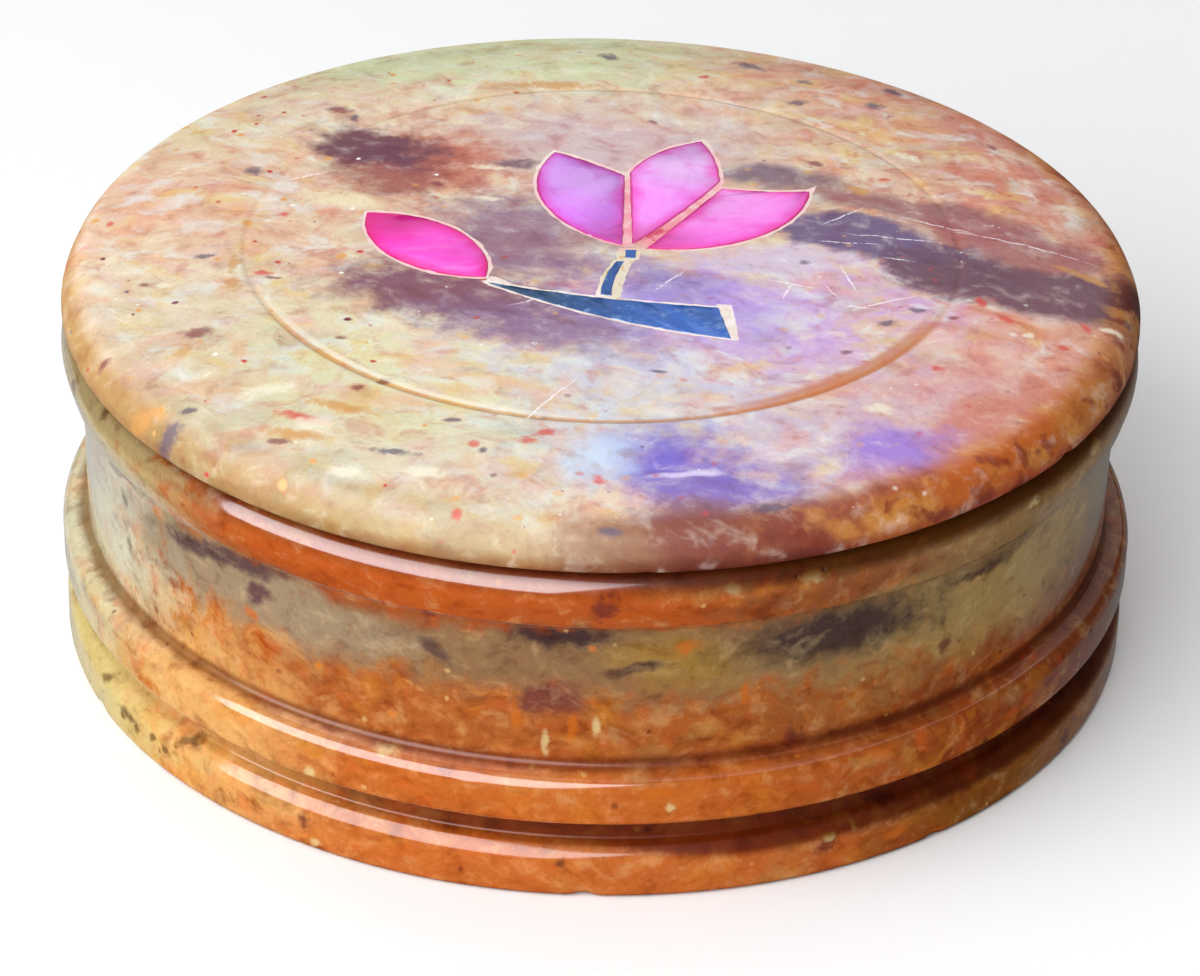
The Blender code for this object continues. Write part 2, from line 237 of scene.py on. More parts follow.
def lathe_tree():
    tree = bpy.data.node_groups.new("lathe", "GeometryNodeTree")
    tree.interface.new_socket("Outline", in_out="INPUT", socket_type="NodeSocketGeometry")
    for name, kind in (("Rows", "Int"), ("Steps Round", "Int"), ("Unevenness", "Float"), ("Seed", "Float")):
        tree.interface.new_socket(name, in_out="INPUT", socket_type="NodeSocket" + kind)
    tree.interface.new_socket("Finish", in_out="INPUT", socket_type="NodeSocketMaterial")
    tree.interface.new_socket("Turned", in_out="OUTPUT", socket_type="NodeSocketGeometry")
    make = NodeMaker(tree)
    given = tree.nodes.new("NodeGroupInput")
    outline, rows, steps, uneven, seed, finish = [Socket(make, end) for end in given.outputs[:6]]

    columns = steps + 1
    sizes = {"Size X": 1.0, "Size Y": 1.0, "Vertices X": rows, "Vertices Y": columns}
    grid = make.node("GeometryNodeMeshGrid", {}, sizes, "Mesh")
    index = make.node("GeometryNodeInputIndex", {}, {}, "Index")
    row = make.math("FLOOR", index / columns)
    angle = (index - row * columns) / steps * (2 * math.pi)
    position = make.node("GeometryNodeInputPosition", {}, {}, "Position")
    look_up = {"Geometry": outline, "Value": position, "Index": row}
    point = make.node("GeometryNodeSampleIndex", {"data_type": "FLOAT_VECTOR"}, look_up, "Value")
    radius, _, height = make.split(point)

    cosine, sine = make.math("COSINE", angle), make.math("SINE", angle)
    true_place = make.join(radius * cosine, radius * sine, height)
    waves = {"Vector": true_place, "W": seed, "Scale": WAVES_PER_METRE, "Detail": 1.0}
    wave = make.node("ShaderNodeTexNoise", {"noise_dimensions": "4D"}, waves, "Fac")
    away_from_axis = radius / (radius + FADE_RADIUS)
    worn = radius + (wave - 0.5) * uneven * 4.0 * away_from_axis
    place = make.join(worn * cosine, worn * sine, height)
    moved = make.node("GeometryNodeSetPosition", {}, {"Geometry": grid, "Position": place}, "Geometry")
    close = {"Geometry": moved, "Distance": WELD_DISTANCE}
    welded = make.node("GeometryNodeMergeByDistance", {}, close, "Geometry")
    real = make.node("GeometryNodeRealizeInstances", {}, {"Geometry": welded}, "Geometry")
    dressed = make.node("GeometryNodeSetMaterial", {}, {"Geometry": real, "Material": finish}, "Geometry")
    make.feed(tree.nodes.new("NodeGroupOutput").inputs["Turned"], dressed)
    return tree


lathe = lathe_tree()
print("lathe:", len(lathe.nodes), "nodes")

# %% [markdown]
# The tree works on a thin chain of points, the outline. Its inputs are set by each socket's identifier,
# because two sockets may have the same name. The result is then read back as a plain mesh, and the chain is
# thrown away.

# %% Turning a piece
SHARP_FROM = math.radians(40)


def plain_mesh(obj, name):
    """What the object looks like with all of its modifiers, as a mesh of its own."""
    bpy.context.view_layer.update()
    mesh = bpy.data.meshes.new_from_object(obj.evaluated_get(bpy.context.evaluated_depsgraph_get()))
    mesh.name = name
    return mesh


def add_piece(name, mesh, finish=None):
    """A new object at the origin, smooth but for its sharp corners."""
    obj = bpy.data.objects.new(name, mesh)
    bpy.context.scene.collection.objects.link(obj)
    if finish:
        mesh.materials.clear()
        mesh.materials.append(finish)
    mesh.shade_smooth()
    mesh.set_sharp_from_angle(angle=SHARP_FROM)
    return obj


def turned(name, outline, seed, finish):
    """The outline swept round the axis by the lathe, as a plain piece."""
    chain = bpy.data.meshes.new(name + "_outline")
    chain.from_pydata([(p.x, 0.0, p.y) for p in outline], [(i, i + 1) for i in range(len(outline) - 1)], [])
    blank = bpy.data.objects.new(name + "_outline", chain)
    bpy.context.scene.collection.objects.link(blank)
    modifier = blank.modifiers.new("Lathe", "NODES")
    modifier.node_group = lathe
    inputs = {s.name: s.identifier for s in lathe.interface.items_tree if s.in_out == "INPUT"}
    values = {"Rows": len(outline), "Steps Round": STEPS_ROUND, "Unevenness": UNEVENNESS, "Seed": seed}
    for key, value in {**values, "Finish": finish}.items():
        modifier[inputs[key]] = value
    mesh = plain_mesh(blank, name)
    bpy.data.objects.remove(blank)
    return add_piece(name, mesh, finish)


# %% [markdown]
# ## Nicks along the edges
#
# Soapstone is soft, and the edges of such a box get small nicks. A nick is made by pushing in the points of
# the mesh that lie near a place on the edge, most in its middle and less further out. Each one has its
# angle round the box, from the front towards the right, its radius, height, reach and depth.

# %% Nicking a mesh
import numpy as np

CUP_NICKS = [
    (-0.3, 50.3, 0.2, 1.5, 0.34), (38, 50.4, 0.1, 1.1, 0.2), (-64, 50.4, 0.2, 1.3, 0.2),
    (152, 50.3, 0.2, 1.4, 0.3), (-12, 50.6, 11.8, 0.9, 0.12), (71, 50.5, 12.0, 1.2, 0.2),
    (-118, 50.6, 11.9, 1.2, 0.22), (-55, 49.6, 27.3, 1.0, 0.15), (97, 49.6, 27.3, 1.1, 0.2),
    (-171, 50.4, 8.0, 1.3, 0.25), (24, 42.4, 32.5, 1.2, 0.25), (-140, 42.4, 32.5, 1.4, 0.3),
]
LID_NICKS = [
    (56, 49.9, 33.3, 1.3, 0.22), (-71, 49.9, 33.2, 1.0, 0.15), (5, 49.9, 33.1, 0.9, 0.12),
    (-150, 49.9, 33.2, 1.5, 0.3), (118, 49.9, 33.3, 1.2, 0.2), (63, 48.6, 36.3, 1.2, 0.1),
    (-24, 41.4, 30.5, 1.2, 0.25), (170, 41.4, 30.5, 1.0, 0.2),
]


def nick(obj, nicks):
    """Pushes the mesh in at each nick, softly towards the edge of its reach."""
    mesh = obj.data
    places = np.empty(len(mesh.vertices) * 3)
    normals = np.empty(len(mesh.vertices) * 3)
    mesh.vertices.foreach_get("co", places)
    mesh.vertices.foreach_get("normal", normals)
    places, normals = places.reshape(-1, 3), normals.reshape(-1, 3)
    for degrees, radius, height, reach, depth in nicks:
        angle = math.radians(degrees)
        middle = np.array([radius * math.sin(angle), -radius * math.cos(angle), height]) * MM
        share = np.clip(1 - np.linalg.norm(places - middle, axis=1) / (reach * MM), 0, 1)
        places -= normals * (share**2 * (3 - 2 * share) * depth * MM)[:, None]
    mesh.vertices.foreach_set("co", places.ravel())
    mesh.update()


print(len(CUP_NICKS), "nicks for the cup,", len(LID_NICKS), "for the lid")

# %% [markdown]
# ## Finishes
#
# A finish starts from the place of each point on the object, in millimetres, so that a number in it is a
# size on the stone. `clouds` is a noise with blots of a given size, `moved` shifts a place about by such a
# noise, and `patch` is a soft-edged ellipse. A colour is given as it looks on a screen, and is turned into
# the light that Blender works with.

# %% Colours
def srgb(red, green, blue):
    """A screen colour, each part from 0 to 255, as the four numbers of a colour socket."""
    parts = [c / 255 for c in (red, green, blue)]
    return tuple(c / 12.92 if c <= 0.04045 else ((c + 0.055) / 1.055) ** 2.4 for c in parts) + (1.0,)


# %% A maker of finishes
class Finish(NodeMaker):
    """A material, with the nodes that its patterns are made of."""

    def __init__(self, name):
        self.material = bpy.data.materials.new(name)
        self.material.use_nodes = True
        super().__init__(self.material.node_tree)
        self.shader = self.tree.nodes["Principled BSDF"]
        metres = self.node("ShaderNodeTexCoord", {}, {}, "Object")
        scale = {"Vector": metres, "Scale": 1000.0}
        self.place = self.node("ShaderNodeVectorMath", {"operation": "SCALE"}, scale, "Vector")
        self.leans = {}

    def set(self, **values):
        """The shader's own sockets: plain numbers, or what varies over the surface."""
        for key, value in values.items():
            self.feed(self.shader.inputs[key.replace("_", " ")], value)

    def blend(self, under, over, share, kind="MIX"):
        """The colour over laid on the colour under, as far as share says."""
        settings = {"data_type": "RGBA", "clamp_factor": True, "blend_type": kind}
        values = {"Factor_Float": share, "A_Color": under, "B_Color": over}
        return self.node("ShaderNodeMix", settings, values, "Result_Color")

    def tint(self, under, over, share, kind="MULTIPLY"):
        """The colour under darkened by over, for stains and for painted shade, or lightened where the kind
        is SCREEN.
        """
        return self.blend(under, over, share, kind)

    def clouds(self, place, size, detail=2.0, roughness=0.5, out="Fac"):
        """A noise from 0 to 1 whose blots are about this many millimetres across."""
        values = {"Vector": place, "Scale": 1 / size, "Detail": detail, "Roughness": roughness}
        return self.node("ShaderNodeTexNoise", {"noise_type": "FBM"}, values, out)

    def moved(self, place, size, amount):
        """The place shifted by up to about this many millimetres."""
        push = self.clouds(place, size, out="Color")
        centred = self.vector("SUBTRACT", push, (0.5, 0.5, 0.5))
        return self.vector("MULTIPLY_ADD", centred, (2 * amount,) * 3, place)

    def between(self, value, low, high):
        """0 up to low and 1 from high on, with a soft step between them."""
        values = {"Value": value, "From Min": low, "From Max": high, "To Min": 0.0, "To Max": 1.0}
        return self.node("ShaderNodeMapRange", {"interpolation_type": "SMOOTHSTEP"}, values, "Result")

    def leaned(self, place, lean):
        """The x and y of the place on a sheet turned by this many degrees, made once for each angle."""
        if lean == 0:
            return place
        key = place.end.node.name, lean
        if key not in self.leans:
            cosine, sine = math.cos(math.radians(lean)), math.sin(math.radians(lean))
            along = self.vector("DOT_PRODUCT", place, (cosine, sine, 0), out="Value")
            across = self.vector("DOT_PRODUCT", place, (-sine, cosine, 0), out="Value")
            self.leans[key] = self.join(along, across, 0.0)
        return self.leans[key]

    def reach(self, place, x, y, length, width, lean):
        """How far out a point lies in an ellipse seen from above: 0 in its middle and 1 on its edge."""
        cosine, sine = math.cos(math.radians(lean)), math.sin(math.radians(lean))
        middle = ((x * cosine + y * sine) / length, (y * cosine - x * sine) / width)
        values = (1 / length, 1 / width, 0), (-middle[0], -middle[1], 0)
        scaled = self.vector("MULTIPLY_ADD", self.leaned(place, lean), *values)
        return self.vector("LENGTH", scaled, out="Value")

    def patch(self, place, x, y, length, width, lean, soft, ragged=0.0):
        """1 inside an ellipse and 0 outside it. ragged is added to the distance, and breaks up the edge."""
        return self.between(self.reach(place, x, y, length, width, lean) + ragged, 1 + soft, 1 - soft)

    def marks(self, place, spots, soft, ragged=0.0):
        """One mask for a set of small ellipses."""
        nearest = self.reach(place, *spots[0])
        for spot in spots[1:]:
            nearest = self.math("MINIMUM", nearest, self.reach(place, *spot))
        return self.between(nearest + ragged, 1 + soft, 1 - soft)

    def specks(self, place, pitch, size, share, seed):
        """Small soft spots, one in each cell that is drawn, of random size up to the given one."""
        at = self.vector("ADD", place, (seed, seed * 1.7, seed * 0.6))
        values = {"Vector": at, "Scale": 1 / pitch, "Randomness": 1.0}
        distance = self.node("ShaderNodeTexVoronoi", {"feature": "F1"}, values, "Distance") * pitch
        drawn = self.node("ShaderNodeTexVoronoi", {"feature": "F1"}, values, "Color")
        chance, grade, _ = self.split(drawn)
        here = self.math("LESS_THAN", chance, share)
        return here * self.between(distance / (grade * (size * 0.7) + size * 0.3), 1.3, 0.5)

    def veils(self, stone, place, layers):
        """Clouds of one colour after another over the stone, thin where the noise is low."""
        for colour, size, start, full, cover, seed in layers:
            at = self.vector("ADD", place, (seed, -seed * 1.3, seed * 0.7))
            cloud = self.between(self.clouds(at, size, 3.0, 0.55), start, full)
            stone = self.blend(stone, srgb(*colour), cloud * cover)
        return stone

    def bump(self, height):
        """A height in millimetres as the surface normal."""
        values = {"Height": height, "Distance": MM, "Strength": 1.0}
        self.set(Normal=self.node("ShaderNodeBump", {}, values, "Normal"))


# %% [markdown]
# ## The lid's stone
#
# The lid shows most of the stone: pale olive at the back left, cream in front, salmon and terracotta at the
# right, a dark vein that runs out to the right edge, smoky maroon round the bud, and lilac and violet
# clouds. No noise alone gives that. So the large patches are placed one by one, and noise does the rest: it
# bends the place that they are measured at, frays their edges, and lays thin veils of other colours over
# them. Each patch has its colour, its middle on the lid, half its length and width, its lean, how soft its
# edge is, and how much it covers.

# %% Patches on the lid
LID_GROUND = [
    ("olive back", (214, 222, 176), (-17, 46), (40, 13), -5, 0.3, 0.95),
    ("olive back left", (226, 216, 170), (-41, 25), (9, 14), 25, 0.5, 0.7),
    ("peach left", (230, 190, 158), (-38, 7), (14, 12), 10, 0.6, 0.8),
    ("cream left front", (224, 208, 174), (-34, -20), (17, 13), -30, 0.5, 0.8),
    ("cream front", (230, 228, 184), (-15, -26), (20, 13), 10, 0.5, 0.9),
    ("cream edge", (232, 222, 190), (-20, -42), (17, 7), -20, 0.5, 0.8),
    ("grey front", (206, 214, 222), (0, -37), (10, 8), 0, 0.5, 0.85),
    ("salmon back", (220, 162, 138), (30, 33), (25, 14), -42, 0.5, 0.9),
    ("terracotta right", (216, 142, 124), (43, 20), (11, 22), 20, 0.5, 0.9),
    ("terracotta inwards", (206, 138, 122), (36, 18), (9, 8), 0, 0.6, 0.7),
    ("salmon right", (218, 146, 126), (38, -18), (13, 13), 15, 0.5, 0.9),
    ("rose grey front right", (200, 186, 214), (20, -33), (12, 9), 25, 0.6, 0.8),
    ("stone beige", (214, 190, 160), (20, 24), (12, 7), -25, 0.6, 0.7),
    ("lilac", (198, 184, 244), (8, -15), (17, 9.5), 12, 0.7, 0.9),
    ("lilac right", (212, 170, 222), (19, -12), (12, 9), 30, 0.7, 0.8),
    ("grey lilac", (208, 208, 224), (2, -25), (11, 6), 0, 0.6, 0.8),
]
LID_ACCENTS = [
    ("smoke round the petals", (200, 172, 190), (0, 20), (13, 8), 0, 0.8, 0.6),
    ("pale lilac below the petal", (214, 198, 222), (15, -1.5), (6, 3.0), 10, 0.6, 0.85),
    ("deep lilac", (164, 142, 226), (6, -11), (9, 5.6), -14, 0.9, 0.75),
    ("violet smoke", (128, 104, 168), (3.6, -6.6), (5.5, 2.6), -20, 0.8, 0.6),
    ("maroon smoke", (138, 98, 134), (-8.6, 0.5), (8.5, 7.6), 20, 0.7, 0.85),
    ("maroon under the bud", (130, 76, 98), (-13.5, -11), (10.5, 4.6), -14, 0.5, 0.95),
    ("maroon under the stem", (140, 108, 146), (-5, -16.4), (9, 4.2), -12, 0.6, 0.85),
    ("rust beside the smoke", (200, 104, 76), (-16.5, 17.5), (7.0, 5.5), -24, 0.6, 0.85),
    ("red brown", (160, 86, 80), (-20.0, 14.5), (6.0, 6.5), -20, 0.5, 0.9),
    ("dark maroon", (108, 60, 80), (-21.6, 19.2), (5.8, 4.6), -34, 0.45, 0.95),
    ("cream by the bud", (240, 224, 184), (-24.5, 7.4), (3.4, 1.4), -10, 0.5, 0.9),
    ("dark behind the petal", (118, 86, 102), (-8.5, 15.8), (2.6, 0.9), -4, 0.4, 0.85),
    ("pink right front", (212, 156, 166), (29, -27), (11, 8), 40, 0.6, 0.5),
    ("salmon inside the amber", (208, 130, 112), (32.4, -31), (13, 3.0), 46, 0.5, 0.85),
    ("violet", (106, 86, 206), (6.8, -38.0), (5.0, 4.2), -14, 0.8, 0.88),
    ("violet edge", (120, 92, 186), (11.4, -42.8), (6.4, 3.6), 10, 0.7, 0.9),
    ("maroon below the violet", (142, 92, 108), (11, -46.8), (7, 2.4), 12, 0.5, 0.85),
    ("violet right", (156, 128, 222), (26, -34.8), (5.0, 3.4), 20, 0.7, 0.85),
    ("ice", (200, 222, 250), (0.6, -38.2), (3.0, 3.4), 0, 0.7, 0.8),
    ("white in the violet", (226, 212, 244), (8.6, -40.3), (2.6, 0.6), 14, 0.5, 0.8),
]
LID_VEIN = [
    ("vein start", (124, 100, 118), (15.5, 14.6), (6.5, 1.7), -6, 0.5, 0.9),
    ("rose vein", (150, 94, 100), (28, 8.8), (12, 2.6), -19, 0.4, 0.85),
    ("dusty red", (160, 88, 94), (39, 1.6), (11, 4.6), -16, 0.5, 0.85),
    ("dark vein", (108, 86, 130), (24.0, 2.6), (9.8, 3.4), -24, 0.25, 0.95),
    ("dark vein middle", (108, 78, 104), (33, -2.8), (7, 4.2), -20, 0.2, 0.95),
    ("dark vein right", (114, 78, 94), (40.5, -6.2), (13, 4.8), -10, 0.25, 0.96),
    ("peach below the vein", (226, 170, 148), (44.0, -13.4), (6, 2.2), -14, 0.5, 0.75),
]
LID_EDGE = [
    ("amber right", (214, 118, 8), (38.6, -31.6), (25, 6.5), 48, 0.4, 0.97),
    ("amber back right", (196, 120, 60), (46, 16), (18, 3.5), 108, 0.5, 0.7),
    ("red brown right", (164, 70, 28), (22, -44), (8, 4.5), 28, 0.5, 0.9),
    ("brown right", (204, 146, 104), (47.0, -17), (8, 4), 70, 0.5, 0.8),
    ("maroon front", (150, 78, 56), (11, -48.5), (12, 3.6), 12, 0.4, 0.95),
    ("ochre front", (204, 176, 124), (-7, -50), (9, 2.2), -6, 0.5, 0.8),
    ("brown front", (170, 128, 92), (0.5, -50.6), (5, 2.4), 0, 0.6, 0.85),
    ("gold right", (222, 158, 62), (26, -43), (5, 2.2), 30, 0.6, 0.8),
    ("gold far right", (214, 148, 66), (44, -23), (6, 2.2), 64, 0.6, 0.8),
    ("dark end of the vein", (112, 46, 26), (48.5, -5.5), (4.5, 3.5), 84, 0.4, 0.95),
    ("peach left", (222, 190, 152), (-45, -20), (15, 4.5), -66, 0.5, 0.8),
]
LID_VEILS = [
    ((240, 160, 122), 6.0, 0.50, 0.66, 0.45, 3.0), ((242, 230, 198), 4.2, 0.50, 0.68, 0.55, 11.0),
    ((190, 192, 168), 6.5, 0.54, 0.70, 0.40, 23.0), ((232, 200, 196), 3.0, 0.52, 0.66, 0.40, 37.0),
    ((234, 200, 104), 3.6, 0.52, 0.68, 0.45, 51.0), ((206, 116, 100), 2.6, 0.55, 0.70, 0.40, 61.0),
    ((232, 240, 238), 3.0, 0.52, 0.68, 0.50, 71.0),
]
LID_EDGE_VEILS = [
    ((234, 178, 92), 3.4, 0.48, 0.62, 0.7, 7.0), ((150, 56, 26), 2.4, 0.52, 0.66, 0.75, 19.0),
]
LID_WARM_VEILS = [
    ((214, 110, 82), 4.6, 0.50, 0.66, 0.50, 5.0), ((196, 84, 58), 2.0, 0.58, 0.70, 0.45, 17.0),
    ((168, 74, 62), 1.2, 0.62, 0.72, 0.50, 29.0),
]
print(len(LID_GROUND), "ground patches,", len(LID_ACCENTS), "accents,", len(LID_EDGE), "on the edge")

# %% [markdown]
# Smaller marks stay where they are put: dark grains, maroon and red flecks, blue-grey spots, ochre stains.
# Marks of one colour share a mask, so that the material mixes each colour in only once. The specks are laid
# by chance. Each set of them has its colour, the pitch of its cells, the largest size, how many of the cells
# hold a speck, and a shift of the whole pattern.

# %% Small marks on the lid
LID_MARKS = {
    "maroon": ((128, 44, 62), [
        (-36, -18.4, 1.3, 0.8, 10), (-26, 27.2, 1.0, 0.8, 0), (-23.2, -19.2, 0.5, 0.35, 0),
        (-21, -28.2, 0.6, 0.5, 20), (-18.8, -27, 0.7, 0.5, 0), (-30, -8.2, 0.7, 0.25, -10),
        (20.2, 17.8, 0.9, 0.4, -40), (-15.8, 11.6, 0.6, 0.4, 0), (-41.5, -9.3, 0.6, 0.35, 0),
        (-44, -21.5, 0.5, 0.4, 0), (22, -19.6, 0.6, 0.4, 0), (4.6, 26, 0.5, 0.3, -50),
        (12.6, 1.6, 0.4, 0.25, 0), (37.5, 24, 0.7, 0.35, -60), (-27.5, -36.3, 0.9, 0.35, -8),
        (31.8, -12.6, 0.5, 0.3, 0)]),
    "red": ((214, 66, 58), [
        (-4.6, -35.4, 0.9, 0.55, 20), (-6, -36.6, 0.7, 0.5, 0), (-10.6, -37.2, 0.5, 0.45, 0),
        (0.2, -42.4, 0.7, 0.5, -60), (34.5, -9.4, 0.4, 0.7, 20), (36.8, -12.4, 0.9, 0.45, -40),
        (44, -12.2, 0.3, 0.8, 25), (41.5, -16.2, 0.5, 0.4, 0), (-29.8, 4.4, 0.5, 0.4, 0),
        (-31, -7.2, 0.7, 0.4, 0), (-46, 3.6, 0.4, 0.5, 0), (9.6, 36.6, 0.6, 0.4, 0),
        (-25.8, -32.9, 2.4, 0.55, -28), (30, -22, 0.6, 0.45, 0), (26.6, 14.8, 0.5, 0.3, 0),
        (-11.8, -46.8, 0.5, 0.5, 0)]),
    "ink": ((84, 70, 98), [
        (0.2, 41.4, 1.1, 0.7, -50), (14.2, 40.4, 1.5, 0.8, -25), (28.4, 36.2, 1.1, 0.6, -50),
        (26.4, 31.8, 0.8, 0.8, 0), (19.6, 36.8, 0.6, 0.5, 0), (-33.4, 13.4, 0.8, 0.8, 0),
        (-36.6, -4.2, 0.9, 0.4, 15), (25.7, -14, 0.8, 0.5, 0), (28.7, -11.3, 0.7, 0.5, 0),
        (-37.2, -32.6, 0.9, 0.8, 0), (-35.8, -30.9, 0.8, 0.4, 30), (-17.4, -38.4, 1.8, 0.4, -12),
        (1.2, -48.6, 0.9, 0.35, 0), (14.8, -44.8, 1.4, 0.6, 14), (5.2, -23.9, 0.7, 0.3, -10),
        (-9.8, -38.2, 0.4, 0.4, 0), (-12.6, -33.4, 0.8, 0.3, 0), (18.8, 31.2, 0.8, 0.5, 20),
        (-24.4, 25.2, 0.4, 0.6, 10), (18.6, -2.6, 0.5, 0.4, 0)]),
    "ochre": ((208, 148, 76), [
        (-39.5, -29.6, 2.0, 0.6, -35), (-33.5, -9.4, 0.8, 1.2, 0), (-26, -35.4, 2.6, 0.6, -15),
        (-22.5, -31.4, 2.6, 0.6, -22), (-33.8, -5.6, 0.5, 1.6, 0), (-5.5, 33.8, 4.2, 0.7, 0),
        (44.6, -2.4, 2.6, 0.5, -28), (24, 12.4, 1.2, 0.6, -30)]),
    "cream": ((240, 232, 208), [
        (-39.8, -9.6, 0.8, 0.4, 0), (38.5, -14.8, 0.4, 0.35, 0), (37.2, -14.9, 0.35, 0.3, 0),
        (46.2, -11.8, 0.9, 0.4, -5), (-24.6, -34, 1.6, 0.8, -10), (-28.6, -28.4, 2.2, 0.9, 8),
        (-14.5, -41.4, 1.6, 0.7, 0), (-21.4, -41, 1.6, 0.6, -20), (-10.9, 15.2, 1.6, 0.35, -6),
        (24.5, -29.4, 1.2, 0.8, 0), (29.2, 19.8, 1.4, 0.5, -40), (-11, 8.8, 1.4, 0.35, -8)]),
}
LID_SPECKS = [
    ((200, 66, 56), 2.3, 0.38, 0.38, 0.0), ((226, 166, 96), 2.9, 0.6, 0.36, 7.0),
    ((120, 44, 66), 3.3, 0.38, 0.3, 13.0), ((250, 246, 234), 2.6, 0.30, 0.34, 19.0),
    ((110, 96, 112), 3.8, 0.40, 0.3, 25.0),
]
print(sum(len(places) for _, places in LID_MARKS.values()), "marks on the lid")

# %% [markdown]
# A polished stone also carries wear. Fine pale scratches cross the dark vein and lie below it, where they
# catch the eye. Each one is a short straight stroke from one point to another, bent a little by the same
# noise.

# %% Scratches
LID_SCRATCHES = [
    (15.6, -6.2, 19.2, -7.4), (17.2, -7.0, 16.6, -9.6), (20.4, -7.0, 21.4, -9.2), (22.0, -3.4, 23.2, -7.8),
    (22.6, -11.6, 28.4, -8.6), (21.4, -10.6, 24.4, -11.2), (19.8, 1.9, 25.4, 1.4), (26.2, -1.2, 28.6, -1.8),
    (23.4, 3.4, 31.0, 2.2), (28.6, 6.8, 34.0, 4.4), (33.6, 4.2, 44.6, 0.6), (20.8, 5.4, 24.0, 8.4),
    (-6.6, -33.4, -2.4, -26.2), (5.0, -8.4, 7.4, -5.0), (-8.0, -12.2, -3.4, -9.6),
    (-30.6, 11.2, -26.2, 13.6),
]
SCRATCH_WIDTH = 0.09


def strokes(lines, width):
    """Straight strokes from point to point, as very flat ellipses."""
    spots = []
    for x1, y1, x2, y2 in lines:
        lean = math.degrees(math.atan2(y2 - y1, x2 - x1))
        spots.append(((x1 + x2) / 2, (y1 + y2) / 2, math.hypot(x2 - x1, y2 - y1) / 2, width, lean))
    return spots


print(len(LID_SCRATCHES), "scratches on the lid")

# %% The lid's finish
def laid(finish, stone, place, patches, fray, share=None):
    """The stone with a list of patches over it."""
    for _, colour, middle, size, lean, soft, cover in patches:
        spot = finish.patch(place, *middle, *size, lean, soft, fray) * cover
        stone = finish.blend(stone, srgb(*colour), spot if share is None else spot * share)
    return stone


